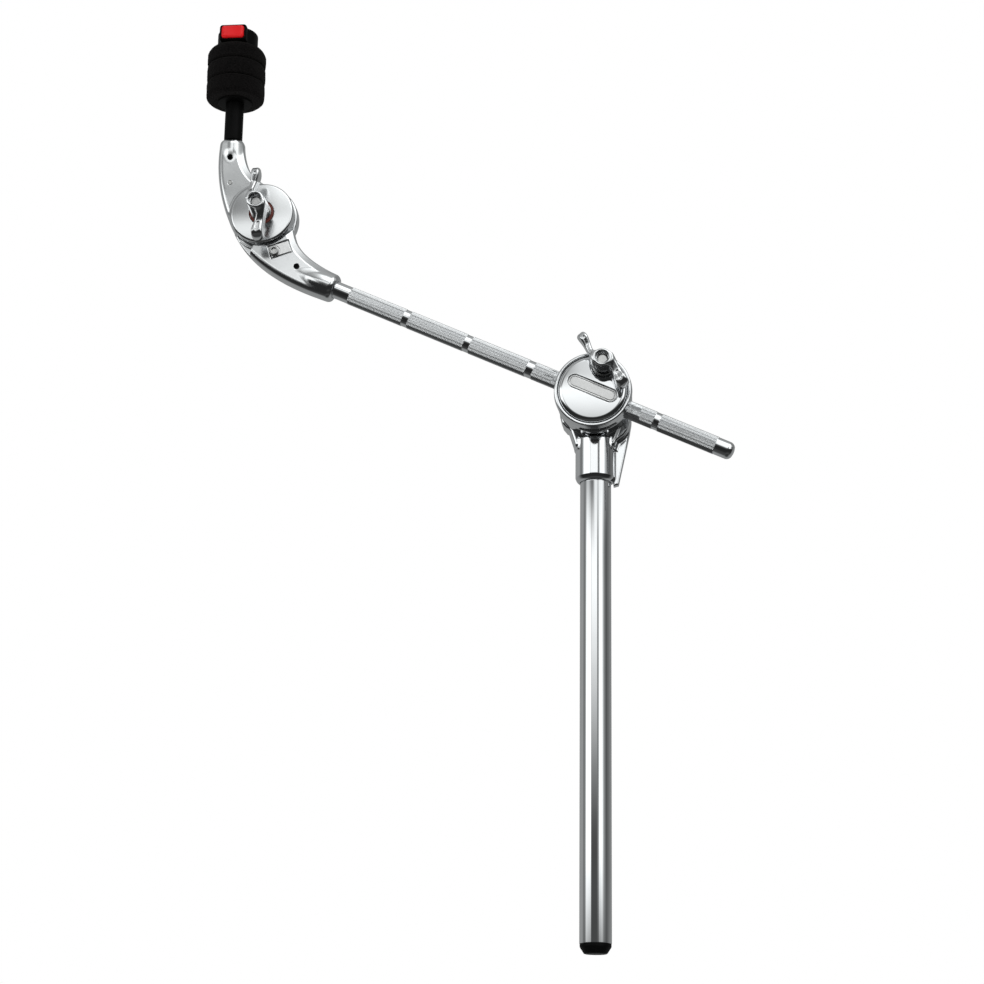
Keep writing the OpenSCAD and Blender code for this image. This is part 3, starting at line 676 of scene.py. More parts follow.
def armField(s):
    outer = -s["offset"] - s["socket"]
    inner = -s["offset"] + s["socket"]
    end = s["end"]
    outerCurve = cubicPoints((-15, -20.2), (3, outer + 5), (31, outer - 3), (end - 4, outer - 0.1), 60)
    innerCurve = cubicPoints((24, 2), (32, -10), (38, inner + 2.5), (end - 4, inner + 0.1), 60)
    window = ((-40, -52), (end + 8, 34))
    far = end + armSet["far"]      # outlines are closed well outside the window
    high = armSet["high"]
    outside = outlineField([
        (-69, 25.4), (-33, -5), outerCurve, (far, outer - 0.1), (far, high), (-69, high)], window=window)
    inside = outlineField([
        (0, 38), innerCurve, (far, inner + 0.1), (far, -high), (-110, -high), (-110, 38)], window=window)

    def field(p):
        x, y, z = p.T
        w = np.abs(y - rodY)
        r = np.hypot(x, z)
        a = outside(x, z)
        b = inside(x, z)
        face = w - armSet["half"] + 1.1 * easeStep(x, 14, s["end"] - 2)    # fades into the barrel
        lean = math.hypot(1 / armSet["bevelAcross"], 1 / armSet["bevelDeep"])
        bevel = (b / armSet["bevelAcross"] + face / armSet["bevelDeep"] + 1) / lean
        web = trim(a, face, armSet["outerEdge"])
        web = trim(web, trim(trim(b, bevel, armSet["crease"]), face, 0.3), 0.6)
        heel = -((x - 4) * 0.809 - (z - 6) * 0.586)
        web = np.maximum(web, heel)
        grow = s["socket"] - 5.5 * (1 - easeStep(x, 26, s["end"] - 8))
        barrel = np.maximum(np.hypot(y - rodY, z + s["offset"]) - grow, 26 - x)
        body = trim(melt(web, barrel, 1.3), x - end, armSet["endEdge"])
        mid = sum(s["discY"]) / 2
        halfDisc = (s["discY"][1] - s["discY"][0]) / 2
        beyond = (y - s["discY"][0]) if s["reliefIsFront"] else -(y - s["discY"][1])
        body = cutAway(body, np.maximum(r - s["relief"], beyond), 0.8)
        body = cutAway(body, np.maximum(np.maximum(x - 5, z), beyond), 0.8)
        crowned = 0 if s["reliefIsFront"] else r * r / 520       # the front disc's face is slightly domed
        disc = trim(r - s["disc"], np.maximum(mid - halfDisc + crowned - y, y - mid - halfDisc), 1.6)
        body = melt(body, disc, 2.4 if not s["reliefIsFront"] else 1.2)
        if s["reliefIsFront"]:
            body = cutAway(body, np.maximum(r - s["relief"], beyond), 0.3)
        bore = np.hypot(y - rodY, z + s["offset"]) - s["bore"]
        body = cutAway(body, np.maximum(bore, s["boreFrom"] - x), 0.8)
        body = cutAway(body, r - armSet["boltHole"], 0.4)
        well = (y + 17.0) if s["reliefIsFront"] else -(y + 27.0)      # the spring sits in both discs
        body = cutAway(body, np.maximum(r - armSet["springWell"], well), 0.2)
        px, pz = s["pin"]
        pin = np.hypot(x - px, z - pz) - armSet["pinRadius"]
        return cutAway(body, np.maximum(pin, y - s["pinFloor"]), 0.45)
    return field


lockSet = {"at": (25.1, -30.5, -20.1), "turn": 43.5, "pocket": (8.3, 5.3), "floor": 2.2, "hole": 2.05,
           "plate": (7.55, 0.6, 4.55), "screwAcross": 4.3, "head": 3.55, "shank": 1.95, "socket": 1.75}


def buildArms():
    base = armField(lowerSet)
    lockTurn = math.radians(lockSet["turn"])

    def lowerField(p):
        s = lockSet
        x, y, z = (p - s["at"]).T
        u = x * math.cos(lockTurn) + z * math.sin(lockTurn)
        v = -x * math.sin(lockTurn) + z * math.cos(lockTurn)
        pocket = np.maximum(np.abs(u) - s["pocket"][0], np.abs(v) - s["pocket"][1])
        body = cutAway(base(p), np.maximum(pocket, y - s["floor"]), 0.4)
        return cutAway(body, np.maximum(np.hypot(u + s["screwAcross"], v) - s["hole"], y - 6.5), 0.2)

    lower = castPiece("lowerArm", lowerField, (-26, -33, -41), (76, -10.5, 26), armSet["cell"], atRod)
    keepPiece(lower, "lower_arm", armChrome)
    topBase = armField(upperSet)

    def upperField(p):
        x, y, z = p.T
        r = np.hypot(x, z)
        body = cutAway(topBase(p), np.maximum(r - 9.4, y + 31.4), 0.5)
        body = cutAway(body, np.maximum(np.maximum(r - 20.6, 17.2 - r), y + 32.75), 0.25)
        return cutAway(body, np.maximum(np.hypot(x - 26, z + 25.5) - 1.6, y + 28.5), 0.3)

    upper = castPiece("upperArm", upperField, (-25, -33.2, -36), (63, -13, 25), armSet["cell"], atStemArm)
    keepPiece(upper, "upper_arm", armChrome)


buildArms()
print("arms made")


class NodeTree:      # geometry nodes with named inputs
    def __init__(self, name, inputs, material):
        self.tree = bpy.data.node_groups.new(name, "GeometryNodeTree")
        self.tree.interface.new_socket("Geometry", in_out="OUTPUT", socket_type="NodeSocketGeometry")
        self.ids = {}
        for key, value in inputs.items():
            kind = "NodeSocketInt" if isinstance(value, int) else "NodeSocketFloat"
            item = self.tree.interface.new_socket(key, in_out="INPUT", socket_type=kind)
            item.default_value = value
            self.ids[key] = item.identifier
        self.inputs = self.tree.nodes.new("NodeGroupInput")
        self.output = self.tree.nodes.new("NodeGroupOutput")
        self.material = material
        self.values = inputs

    def add(self, kind, links=None, **settings):
        return addNode(self.tree, kind, links, **settings)

    def math(self, operation, *values):
        return calc(self.tree, operation, *values)

    def field(self, kind):
        return Value(self.tree, self.add(kind).outputs[0])

    def given(self):
        return [Value(self.tree, self.inputs.outputs[key]) for key in self.values]

    def finish(self, geometry):
        real = self.add("GeometryNodeRealizeInstances", {"Geometry": geometry})
        painted = self.add("GeometryNodeSetMaterial", {"Geometry": real, "Material": self.material})
        plug(self.tree, painted, self.output.inputs[0])

    def bake(self, name, place, **changes):      # runs the nodes once and keeps a plain mesh
        carrier = bpy.data.objects.new(name + "Carrier", bpy.data.meshes.new(name + "Carrier"))
        scene.collection.objects.link(carrier)
        modifier = carrier.modifiers.new("nodes", "NODES")
        modifier.node_group = self.tree
        for key, value in {**self.values, **changes}.items():
            modifier[self.ids[key]] = value
        bpy.context.view_layer.update()
        ready = carrier.evaluated_get(bpy.context.evaluated_depsgraph_get())
        mesh = bpy.data.meshes.new_from_object(ready)
        carrier.modifiers.remove(modifier)
        bpy.data.objects.remove(carrier)
        mesh.name = name
        mesh.transform(Matrix.Scale(mm, 4) @ place)
        if place.to_3x3().determinant() < 0:
            mesh.flip_normals()
        return bpy.data.objects.new(name, mesh)


rodSet = {"Columns": 82, "Rows": 610, "From": -257.5, "To": 108.5, "Radius": 6.35, "Raise": 0.26,
          "KnurlFrom": -196.0, "KnurlTo": 95.0, "BandPitch": 50.0, "BandWidth": 5.0, "BandFrom": -152.0,
          "BandTo": 52.0, "EndRound": 4.5, "Pitch": 0.0}


def wrappedRodTree():      # a grid rolled into a rod along X, with diamonds or a thread raised on it
    t = NodeTree("rolledRod", rodSet, finishes["chrome_plate"])
    (cols, rows, low, high, radius, lift, knurlFrom, knurlTo, bandPitch, bandWidth, bandFrom, bandTo,
     endRound, pitch) = t.given()
    grid = t.add("GeometryNodeMeshGrid", {
        "Size X": 1.0, "Size Y": 1.0, "Vertices X": rows + 1.0, "Vertices Y": cols + 1.0})
    index = t.field("GeometryNodeInputIndex")
    perRow = cols + 1.0
    row = t.math("FLOOR", (index + 0.25) / perRow)
    col = index - row * perRow
    x = low + (high - low) * (row / rows)
    turn = col / cols
    half = bandPitch * 0.5

    def raisedAt(place):      # 1 on the knurl or the thread, 0 on the plain bands and ends
        inside = (place > knurlFrom) * (place < knurlTo)
        near = t.math("ABSOLUTE", (place + half) % bandPitch - half)
        band = near < bandWidth * 0.5
        zone = (place > bandFrom) * (place < bandTo)
        return inside * (1.0 - band * zone)

    inKnurl = raisedAt(x)
    checker = (row + col) % 2.0
    isThread = pitch > 0.01
    wave = t.math("FRACT", x / t.math("MAXIMUM", pitch, 0.01) - turn)
    ridge = 1.0 - t.math("ABSOLUTE", wave * 2.0 - 1.0)
    height = ridge * isThread + checker * (1.0 - isThread)
    into = t.math("MAXIMUM", x - (high - endRound), 0.0)
    drop = endRound - t.math("SQRT", t.math("MAXIMUM", endRound * endRound - into * into, 0.0))
    size = radius + height * lift * inKnurl - drop
    angle = turn * (2 * math.pi)
    spot = t.add("ShaderNodeCombineXYZ", {
        "X": x, "Y": size * t.math("COSINE", angle), "Z": size * t.math("SINE", angle)})
    placed = t.add("GeometryNodeSetPosition", {"Geometry": grid, "Position": spot})
    pointed = t.add("GeometryNodeTriangulate", {"Mesh": placed}, quad_method="SHORTEST_DIAGONAL")
    spotAgain = t.add("ShaderNodeSeparateXYZ", {0: t.field("GeometryNodeInputPosition")})
    plain = raisedAt(Value(t.tree, spotAgain.outputs[0])) < 0.5
    smooth = t.add("GeometryNodeSetShadeSmooth", {"Geometry": pointed, "Shade Smooth": plain})
    t.finish(t.add("GeometryNodeMergeByDistance", {"Geometry": smooth, "Distance": 0.0005}))
    return t


def buildBoomRod(tree):
    obj = tree.bake("boomRod", atBoom @ Matrix.Translation((0, rodY, 0)))
    capEnds(obj)
    keepPiece(obj, "boom_rod")


def capEnds(obj):
    work = bmesh.new()
    work.from_mesh(obj.data)
    bmesh.ops.remove_doubles(work, verts=work.verts, dist=1e-7)
    rim = [e for e in work.edges if e.is_boundary]
    bmesh.ops.holes_fill(work, edges=rim)
    bmesh.ops.recalc_face_normals(work, faces=work.faces)
    work.to_mesh(obj.data)
    work.free()


rolledRod = wrappedRodTree()
buildBoomRod(rolledRod)
print("boom rod made")


seatSet = {"top": 626.0, "feltRadius": 22.2, "feltHeight": 14.2, "sleeve": 5.9, "bore": 6.1, "stem": 6.9,
           "rod": (564.5, 678.5)}


def feltPiece(name, node, k, radius, topRound, bottomRound, bulge, seed):
    s = seatSet
    z0 = s["top"] + k * s["feltHeight"] + 0.05
    z1 = s["top"] + (k + 1) * s["feltHeight"]
    steps = 40
    profile = [(s["bore"], z0 + 0.6), (s["bore"], z1 - 0.6)]
    outline = []
    for i in range(steps + 1):
        t = i / steps
        z = z0 + (z1 - z0) * t
        edge = radius - bulge + bulge * math.sin(math.pi * t)
        if z < z0 + bottomRound:
            edge -= bottomRound - math.sqrt(max(bottomRound ** 2 - (z0 + bottomRound - z) ** 2, 0))
        if z > z1 - topRound:
            edge -= topRound - math.sqrt(max(topRound ** 2 - (z - z1 + topRound) ** 2, 0))
        outline.append((edge, z))
    lip = s["bore"] + 0.8
    flatTop = [(lip + (outline[-1][0] - lip) * i / 8, z1) for i in range(8)]
    flatLow = [(outline[0][0] + (lip - outline[0][0]) * i / 8, z0) for i in range(1, 9)]
    profile += flatTop + outline[::-1] + flatLow
    segments = 180
    verts = []
    for r, h in profile:
        for j in range(segments):
            a = 2 * math.pi * j / segments
            p = Vector((r * math.cos(a), r * math.sin(a), h))
            lump = noise.noise(p * 0.16 + Vector((seed, 0, 0))) * 0.30
            fuzz = noise.noise(p * 1.1 + Vector((0, seed, 0))) * 0.17 + noise.noise(p * 2.9) * 0.09
            out = 0 if r < s["bore"] + 2 else min(1.0, (r - s["bore"] - 2) / 3)
            grow = (lump + fuzz - 0.25) * out
            verts.append((p.x * (1 + grow / max(r, 1)), p.y * (1 + grow / max(r, 1)), h))
    rows = len(profile)
    faces = []
    for i in range(rows):
        here = i * segments
        above = (i + 1) % rows * segments
        for j in range(segments):
            k = (j + 1) % segments
            faces.append((here + j, here + k, above + k, above + j))
    obj = outwards(meshPiece(name, verts, faces, atStem, smoothAngle=60))
    keepPiece(obj, node)


def buildSeat():
    s = seatSet
    rodFrom, rodTo = s["rod"]
    keepTurned("cymbalRod", "cymbal_rod", [
        (0, rodFrom, 0), (4.0, rodFrom, 0.3), (4.0, rodTo - 1.5, 0.3), (2.6, rodTo, 0.3), (0, rodTo, 0)],
        atStem, closed=False, segments=64)
    keepTurned("stemSleeve", "stem_sleeve", [
        (4.1, 593.2, 0.2), (s["stem"], 593.2, 0.6), (s["stem"], 624.3, 0.5), (4.1, 624.3, 0.2)], atStem)
    keepTurned("seatWasher", "seat_washer", [
        (4.1, 624.45, 0), (12.6, 624.45, 0.4), (13.0, 625.95, 0.4), (4.1, 625.95, 0)], atStem)
    keepTurned("cymbalSleeve", "cymbal_sleeve", [
        (4.25, 626.05, 0), (s["sleeve"], 626.05, 0.2), (s["sleeve"], 662.8, 0.6), (4.25, 662.8, 0.3)], atStem)
    feltPiece("lowerFelt", "lower_felt", 0, s["feltRadius"], 1.6, 4.0, 0.0, 3.0)
    feltPiece("middleFelt", "middle_felt", 1, s["feltRadius"] + 0.2, 2.0, 2.0, 0.5, 11.0)
    feltPiece("upperFelt", "upper_felt", 2, s["feltRadius"], 6.0, 1.6, 0.0, 23.0)


buildSeat()
print("cymbal seat made")


mateSet = {"radius": 15.2, "height": 13.8, "half": 19.5, "housing": 10.4, "channel": 8.9, "middle": 7.0,
           "rodHole": 4.3, "button": (8.6, 2.65, 5.1), "dish": 37.7, "springAt": 5.6, "cell": 0.4}


def roundedBox(p, centre, half, r):
    d = np.abs(p - np.array(centre)) - (np.array(half) - r)
    return np.linalg.norm(np.maximum(d, 0), axis=1) + np.minimum(d.max(1), 0) - r


def buildMate():
    s = mateSet
    z0 = seatSet["top"] + 3 * seatSet["feltHeight"] + 0.1
    middle = z0 + s["middle"]
    halfHeight = s["height"] / 2

    def field(p):
        x, y, z = p.T
        r = np.hypot(x, y)
        drum = trim(r - s["radius"], np.abs(z - z0 - halfHeight) - halfHeight, 1.8)
        centre = (0, 0, z0 + halfHeight - 0.15)
        body = melt(drum, roundedBox(p, centre, (s["housing"], s["half"], halfHeight - 0.15), 2.4), 0.3)
        body = cutAway(body, roundedBox(p, (0, 0, middle), (s["channel"], 40, 5.4), 0.8), 0.45)
        return cutAway(body, r - s["rodHole"], 0.5)

    body = castPiece("mateBody", field, (-15.5, -20, z0 - 0.2), (15.5, 20, z0 + 14), s["cell"], atStem)
    keepPiece(body, "mate_body")
    for name, node, side in (("frontButton", "front_button", -1), ("rearButton", "rear_button", 1)):
        def buttonField(p, side=side):
            q = p * (1, side, 1)
            x, y, z = q.T
            block = roundedBox(q, (0, 18.2, middle), s["button"], 2.2)
            dish = np.sqrt(x ** 2 + (y - 58.2) ** 2 + (z - z0 - s["middle"]) ** 2) - s["dish"]
            block = cutAway(block, dish, 0.8)
            wells = np.maximum(np.hypot(np.abs(x) - s["springAt"], z - z0 - s["middle"]) - 2.3, y - 18.7)
            return cutAway(block, wells, 0.2)
        nearY, farY = sorted((side * 15.2, side * 21.2))
        button = castPiece(name, buttonField, (-9, nearY, z0 + 1.5), (9, farY, z0 + 12.5), 0.32, atStem)
        keepPiece(button, node)


buildMate()
print("mate made")


def hexHead(across, y0, y1, chamfer, place, name):
    verts = []
    inset = chamfer * 0.6
    rings = ((across - chamfer, y0), (across, y0 + inset), (across, y1 - inset), (across - chamfer, y1))
    for r, y in rings:
        for k in range(6):
            a = math.pi * k / 3
            verts.append((r * math.cos(a), y, r * math.sin(a)))
    faces = [tuple(range(6)), tuple(reversed(range(18, 24)))]
    for i in range(0, 18, 6):
        for k in range(6):
            m = (k + 1) % 6
            faces.append((i + k, i + m, i + 6 + m, i + 6 + k))
    return outwards(meshPiece(name, verts, faces, place, smoothAngle=20))


def joinPieces(name, *parts):
    verts = []
    faces = []
    smooth = []
    for part in parts:
        base = len(verts)
        mesh = part.data
        verts += [tuple(v.co) for v in mesh.vertices]
        faces += [tuple(base + i for i in f.vertices) for f in mesh.polygons]
        smooth += [f.use_smooth for f in mesh.polygons]
        bpy.data.objects.remove(part)
    mesh = bpy.data.meshes.new(name)
    mesh.from_pydata(verts, [], faces)
    mesh.polygons.foreach_set("use_smooth", smooth)
    mesh.set_sharp_from_angle(angle=math.radians(32))
    return bpy.data.objects.new(name, mesh)


def ringOnY(name, node, outer, inner, y0, y1, place):
    keepTurned(name, node, [(inner, y0, 0), (outer, y0, 0.25), (outer, y1, 0.25), (inner, y1, 0)],
               place, axis="y")


def boltPiece(name, radius, y0, y1, place):      # a threaded shank along Y, its free end at y0
    turn = Matrix(((0, 1, 0, 0), (-1, 0, 0, 0), (0, 0, 1, 0), (0, 0, 0, 1)))
    obj = rolledRod.bake(name, place @ turn, **{
        "Columns": 40, "Rows": int((y1 - y0) / 0.3), "From": -y1, "To": -y0, "Radius": radius - 0.5,
        "Raise": 0.5, "KnurlFrom": -y1 + 0.5, "KnurlTo": -y0 - 0.7, "BandWidth": 0.0, "EndRound": 0.5,
        "Pitch": fastenerSet["pitch"]})
    capEnds(obj)
    for f in obj.data.polygons:
        f.use_smooth = True
    return obj


fastenerSet = {"thread": 3.95, "pitch": 1.25, "clampFrom": -51, "clampTo": 11.2, "tilterFrom": -53, "tilterTo": -13.2}


def buildFasteners():
    s = fastenerSet
    shank = boltPiece("clampShank", s["thread"], s["clampFrom"], s["clampTo"], atBolt)
    clampHead = hexHead(7.2, 11.1, 15.9, 0.7, atBolt, "clampHead")
    keepPiece(joinPieces("clampBolt", shank, clampHead), "clamp_bolt")
    ringOnY("clampBoltWasher", "clamp_bolt_washer", 7.6, 4.2, 9.4, 11.0, atBolt)
    pivotShank = turnedPiece("pivotShank", [(0, -8, 0), (3, -8, 0.4), (3, 11, 0), (0, 11, 0)],
                             atBoom, axis="y", closed=False)
    pivotHead = hexHead(5.8, 10.9, 15.2, 0.6, atBoom, "pivotHead")
    keepPiece(joinPieces("pivotScrew", pivotShank, pivotHead), "pivot_screw")
    ringOnY("pivotWasher", "pivot_washer", 10.6, 3.2, 9.45, 10.85, atBoom)
    ringOnY("boomWingWasher", "boom_wing_washer", 7.9, 4.2, -37.6, -36.2, atBolt)
    tilterShank = boltPiece("tilterShank", s["thread"], s["tilterFrom"], s["tilterTo"], atRod)
    dome = turnedPiece("tilterHead", [
        (0, -10.9, 0), (9.5, -10.9, 0.2), (9.5, -9.6, 0.6), (5.6, -6.9, 0.9), (0, -6.8, 0)],
        atRod, axis="y", closed=False)
    keepPiece(joinPieces("tilterBolt", tilterShank, dome), "tilter_bolt")
    ringOnY("fibreWasher", "fibre_washer", 9.1, 4.3, -32.5, -31.5, atTilter)
    keepTurned("wingSpacer", "wing_spacer", [
        (4.3, -38, 0.2), (5.9, -38, 0.5), (7.6, -34.6, 0.6), (7.6, -32.6, 0.2), (4.3, -32.6, 0)],
        atTilter, axis="y")


buildFasteners()
print("fasteners made")


springSet = {"clamp": {"Radius": 5.4, "Wire": 0.42, "Height": 8.6, "Turns": 3.5},
             "tilter": {"Radius": 7.1, "Wire": 0.45, "Height": 9.2, "Turns": 3.5},
             "button": {"Radius": 1.65, "Wire": 0.3, "Height": 3.9, "Turns": 5.0}}
ringSet = {"Teeth": 24, "Inner": 10.2, "Outer": 17.9, "Base": 1.0, "Tooth": 0.5}


def springTree():
    t = NodeTree("coilSpring", springSet["clamp"], finishes["plain_steel"])
    radius, wire, height, turns = t.given()
    coil = t.add("GeometryNodeCurveSpiral", {
        "Resolution": 40, "Rotations": turns, "Start Radius": radius, "End Radius": radius, "Height": height})
    section = t.add("GeometryNodeCurvePrimitiveCircle", {"Resolution": 10, "Radius": wire})
    swept = t.add("GeometryNodeCurveToMesh", {"Curve": coil, "Profile Curve": section, "Fill Caps": True})
    t.finish(t.add("GeometryNodeSetShadeSmooth", {"Geometry": swept}))
    return t


def toothedRingTree():
    t = NodeTree("toothedRing", ringSet, finishes["plain_steel"])
    count, inner, outer, base, tall = t.given()
    middle = (inner + outer) * 0.5
    ring = t.add("GeometryNodeCurvePrimitiveCircle", {"Resolution": 96, "Radius": middle})
    strip = t.add("GeometryNodeCurvePrimitiveQuadrilateral", {"Width": outer - inner, "Height": base})
    flat = t.add("GeometryNodeCurveToMesh", {"Curve": ring, "Profile Curve": strip})
    spots = t.add("GeometryNodeMeshCircle", {"Vertices": count, "Radius": middle})
    block = t.add("ShaderNodeCombineXYZ", {"X": outer - inner, "Y": 1.5, "Z": tall})
    tooth = t.add("GeometryNodeMeshCube", {"Size": block})
    rise = t.add("ShaderNodeCombineXYZ", {"Z": (base + tall) * 0.495})      # sunk a little into the ring
    lifted = t.add("GeometryNodeTransform", {"Geometry": tooth, "Translation": rise})
    index = t.field("GeometryNodeInputIndex")
    turn = t.add("ShaderNodeCombineXYZ", {"Z": index / count * (2 * math.pi)})
    teeth = t.add("GeometryNodeInstanceOnPoints", {"Points": spots, "Instance": lifted, "Rotation": turn})
    both = t.add("GeometryNodeJoinGeometry")
    for part in (flat, teeth):
        plug(t.tree, part, both.inputs[0])
    t.finish(both)
    return t


def buildSprings():
    spring = springTree()
    alongY = Matrix.Rotation(math.radians(-90), 4, "X")
    for name, node, place, y in (("clamp", "clamp_spring", atBolt, -26.3),
                                 ("tilter", "tilter_spring", atRod, -26.6)):
        coil = spring.bake(name + "Spring", place @ Matrix.Translation((0, y, 0)) @ alongY, **springSet[name])
        keepPiece(coil, node)
    z = seatSet["top"] + 3 * seatSet["feltHeight"] + 0.1 + mateSet["middle"]
    coils = []
    for x in (-mateSet["springAt"], mateSet["springAt"]):
        for y in (-15.9, 12.0):
            place = atStem @ Matrix.Translation((x, y, z)) @ alongY
            coils.append(spring.bake("buttonCoil", place, **springSet["button"]))
    keepPiece(joinPieces("buttonSprings", *coils), "button_springs")
    rings = toothedRingTree()
    low = atRod @ Matrix.Translation((0, -20.5, 0)) @ Matrix.Rotation(math.radians(90), 4, "X")
    keepPiece(rings.bake("lowerToothedRing", low), "lower_tooth_ring")
    top = atTilter @ Matrix.Rotation(math.radians(7.5), 4, "Y") @ Matrix.Translation((0, -23.5, 0)) @ alongY
    keepPiece(rings.bake("upperToothedRing", top), "upper_tooth_ring")


buildSprings()
print("springs and toothed rings made")


def buildLock():
    s = lockSet
    place = atRod @ Matrix.Translation(s["at"]) @ Matrix.Rotation(math.radians(-s["turn"]), 4, "Y")

    def plateField(p):
        x, y, z = p.T
        y = y - 0.065 * x      # tilted a few degrees
        r = np.hypot(x + s["screwAcross"], z)
        body = roundedBox(np.stack([x, y, z], 1), (0, 1.05, 0), s["plate"], 0.4)
        body = cutAway(body, np.maximum(np.abs(r - 3.9) - 0.35, y - 0.85), 0.15)
        return cutAway(body, r - 2.1, 0.25)

    def screwField(p):
        x, y, z = p.T
        x = x + s["screwAcross"]
        r = np.hypot(x, z)
        head = trim(r - s["head"], np.abs(y + 1.08) - 0.9, 0.35)
        sector = (np.arctan2(z, x) + math.pi / 6) % (math.pi / 3) - math.pi / 6
        socket = np.maximum(r * np.cos(sector) - s["socket"], y + 0.7)
        return melt(cutAway(head, socket, 0.2), np.maximum(r - s["shank"], np.abs(y - 2.9) - 3.2), 0.1)

    plate = castPiece("lockPlate", plateField, (-8.1, -0.4, -5.1), (8.1, 2.4, 5.1), 0.25, place)
    keepPiece(plate, "lock_plate")
    screw = castPiece("lockScrew", screwField, (-8.1, -2.1, -3.8), (-0.5, 6.3, 3.8), 0.22, place)
    keepPiece(screw, "lock_screw")


buildLock()

for name, obj in nodes.items():      # carried-over parts take the finish of their slot
    obj.data.materials.clear()
    obj.data.materials.append(finishes[slotOf[name]])
print("carried-over parts painted")


floorSet = {"half": 14.0, "steps": 8, "height": -0.47, "glow": 0.34}


def buildFloor():
    s = floorSet
    across = np.linspace(-s["half"], s["half"], s["steps"] + 1)
    verts = [(x, y, s["height"]) for x in across for y in across]
    n = s["steps"] + 1
    faces = [(i * n + j, (i + 1) * n + j, (i + 1) * n + j + 1, i * n + j + 1)
             for i in range(s["steps"]) for j in range(s["steps"])]
    mesh = bpy.data.meshes.new("studioFloor")
    mesh.from_pydata(verts, [], faces)
    floor = bpy.data.objects.new("studioFloor", mesh)
    mat, tree, shader = newMaterial("paleFloor", {
        "Roughness": 0.9, "Emission Color": (1, 1, 1, 1), "Emission Strength": s["glow"]})
    tinted(tree, shader, objectNoise(tree, 3.0), (0.86, 0.86, 0.86), (0.88, 0.88, 0.88))
    mesh.materials.append(mat)
    scene.collection.objects.link(floor)
    floor.visible_glossy = False      # chrome reflects the dark side of the room instead


lightSet = {      # degrees and brightness; azimuth runs from the camera's side, + to the right
    "low": [(-180, 0.30), (-134, 0.34), (-108, 0.36), (-96, 0.22), (-84, 0.20), (-76, 0.6), (-69, 1.5),
            (-36, 1.5), (-30, 0.35), (10, 0.30), (15, 0.20), (20, 0.20), (25, 1.3), (47, 1.5), (56, 0.60),
            (70, 0.22), (84, 0.10), (100, 0.16), (130, 0.26), (180, 0.30)],
    "high": [(-180, 0.32), (-130, 0.36), (-100, 0.28), (-80, 0.24), (-64, 0.50), (-52, 0.55), (-42, 0.28),
             (-27, 0.17), (-20, 0.20), (-15, 0.38), (-9, 0.85), (0, 1.1), (12, 1.0), (18, 0.5), (25, 1.1),
             (52, 1.2), (72, 0.45), (100, 0.22), (150, 0.28), (180, 0.32)],
    "ground": [(-90, 0.05), (-70, 0.04), (-62, 0.07), (-50, 0.05), (-38, 0.025), (-10, 0.02), (0, 0.08),
               (4, 0.2)],      # by elevation, in front and below
    "behind": 0.30,
    "ceiling": 0.42,
    "softbox": 0.75,
    "tint": (0.975, 0.995, 0.99),
}


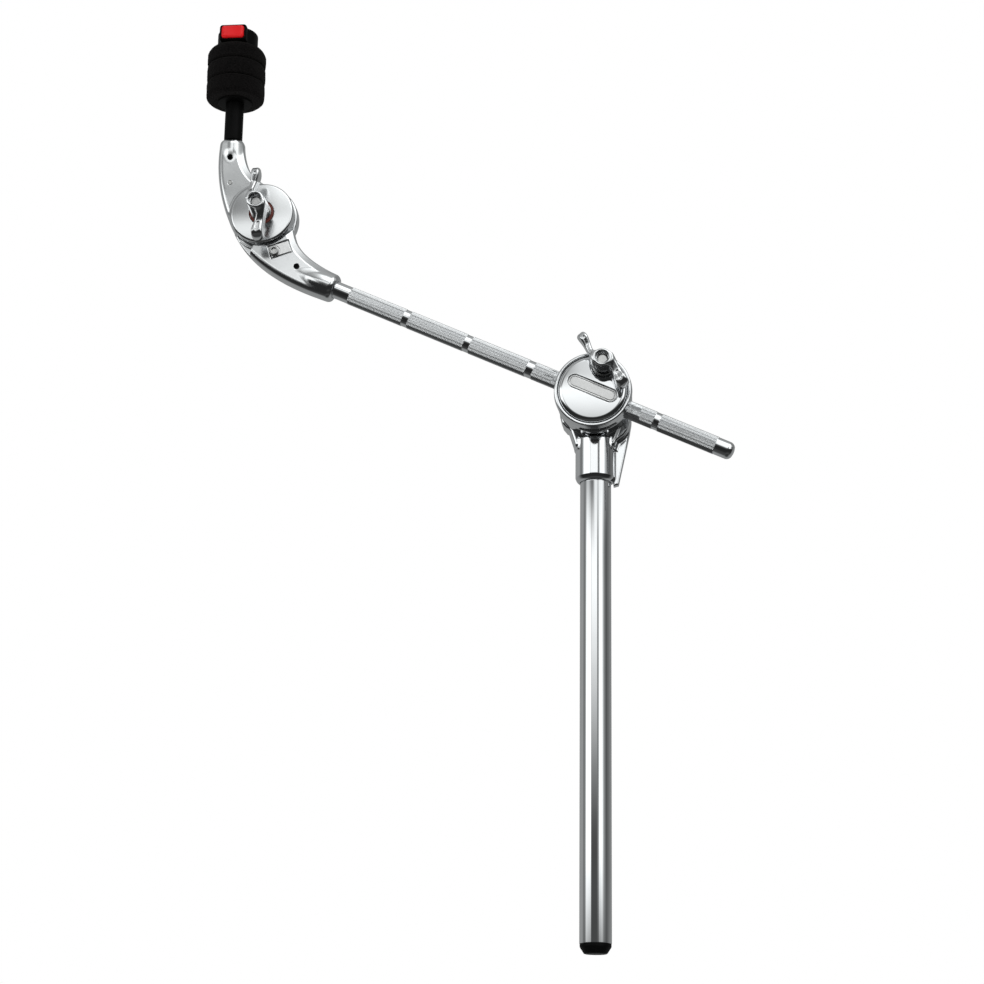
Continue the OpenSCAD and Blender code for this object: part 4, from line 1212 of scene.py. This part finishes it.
def buildWorld():
    s = lightSet
    world = bpy.data.worlds.new("studio")
    scene.world = world
    world.use_nodes = True
    tree = world.node_tree
    tree.nodes.clear()
    coords = addNode(tree, "ShaderNodeTexCoord")
    split = addNode(tree, "ShaderNodeSeparateXYZ", {0: coords.outputs["Generated"]})
    x, y, z = (Value(tree, socket) for socket in split.outputs)

    def stops(source, points, low, high, top):
        span = high - low
        share = calc(tree, "MULTIPLY_ADD", source, 1 / span, -low / span)
        ramp = addNode(tree, "ShaderNodeValToRGB", {"Fac": share})
        ramp.color_ramp.interpolation = "EASE"
        elements = ramp.color_ramp.elements
        while len(elements) < len(points):
            elements.new(0.5)
        for element, (place, value) in zip(elements, points):
            element.position = (place - low) / span
            element.color = (value / top, value / top, value / top, 1)
        return Value(tree, ramp.outputs["Color"]) * top

    def ease(source, start, stop):
        node = addNode(tree, "ShaderNodeMapRange", {"Value": source, "From Min": start, "From Max": stop},
                       interpolation_type="SMOOTHSTEP")
        return Value(tree, node.outputs["Result"])

    def mixed(a, b, share):
        return a * (1.0 - share) + b * share

    azimuth = calc(tree, "ARCTAN2", x, y * -1.0) * (180 / math.pi) - 3.5
    elevation = calc(tree, "ARCSINE", z) * (180 / math.pi)
    lowBand = stops(azimuth, s["low"], -184, 184, 2.0)
    highBand = stops(azimuth, s["high"], -184, 184, 2.0)
    ahead = ease(azimuth, -34.0, -28.0) * (1.0 - ease(azimuth, 9.0, 14.0))
    rise = calc(tree, "POWER", ease(elevation, 1.0, 19.0), 1.6)      # straight ahead it brightens with height
    walls = mixed(mixed(lowBand, mixed(0.06, 1.3, rise), ahead), highBand, ease(elevation, 18.5, 23.5))
    front = ease(azimuth, -40.0, -8.0) * (1.0 - ease(azimuth, 55.0, 80.0))
    walls = walls + ease(elevation, 25.0, 34.0) * front * s["softbox"]
    walls = mixed(walls, s["ceiling"], ease(elevation, 58.0, 76.0))
    ground = stops(calc(tree, "MINIMUM", elevation, 4.0), s["ground"], -90, 4.0, 1.0)
    beyond = ease(calc(tree, "ABSOLUTE", azimuth), 85.0, 125.0) * ease(elevation, -78.0, -45.0)
    ground = mixed(ground, s["behind"], beyond)
    value = mixed(ground, walls, ease(elevation, -3.0, 5.0))
    paint = addNode(tree, "ShaderNodeCombineColor", {i: value * share for i, share in enumerate(s["tint"])})
    room = addNode(tree, "ShaderNodeBackground", {"Color": paint})
    backdrop = addNode(tree, "ShaderNodeBackground", {"Color": (1, 1, 1, 1)})
    path = addNode(tree, "ShaderNodeLightPath")
    choice = addNode(tree, "ShaderNodeMixShader", {
        "Fac": path.outputs["Is Camera Ray"], 1: room, 2: backdrop})
    addNode(tree, "ShaderNodeOutputWorld", {"Surface": choice})


cameraSet = {"at": (0.0966, -1.57905, -0.15268), "yaw": 6.1926, "pitch": 16.6, "roll": 0.7737, "lens": 84.15}


def buildCamera():
    s = cameraSet
    yaw, pitch, roll = (math.radians(s[k]) for k in ("yaw", "pitch", "roll"))
    right = Vector((math.cos(yaw), math.sin(yaw), 0))
    ahead = Vector((-math.sin(yaw) * math.cos(pitch), math.cos(yaw) * math.cos(pitch), math.sin(pitch)))
    up = right.cross(ahead)
    tiltedRight = right * math.cos(roll) + up * math.sin(roll)
    tiltedUp = -right * math.sin(roll) + up * math.cos(roll)
    data = bpy.data.cameras.new("studioCamera")
    data.lens = s["lens"]
    data.sensor_width = 36.0
    data.clip_start = 0.05
    data.clip_end = 50.0
    camera = bpy.data.objects.new("studioCamera", data)
    camera.matrix_world = placeFrom(s["at"], tiltedRight, tiltedUp, -ahead)
    scene.collection.objects.link(camera)
    scene.camera = camera


buildFloor()
buildWorld()
buildCamera()
scene.view_settings.view_transform = "Standard"
scene.view_settings.look = "None"
print("floor, light and camera made")
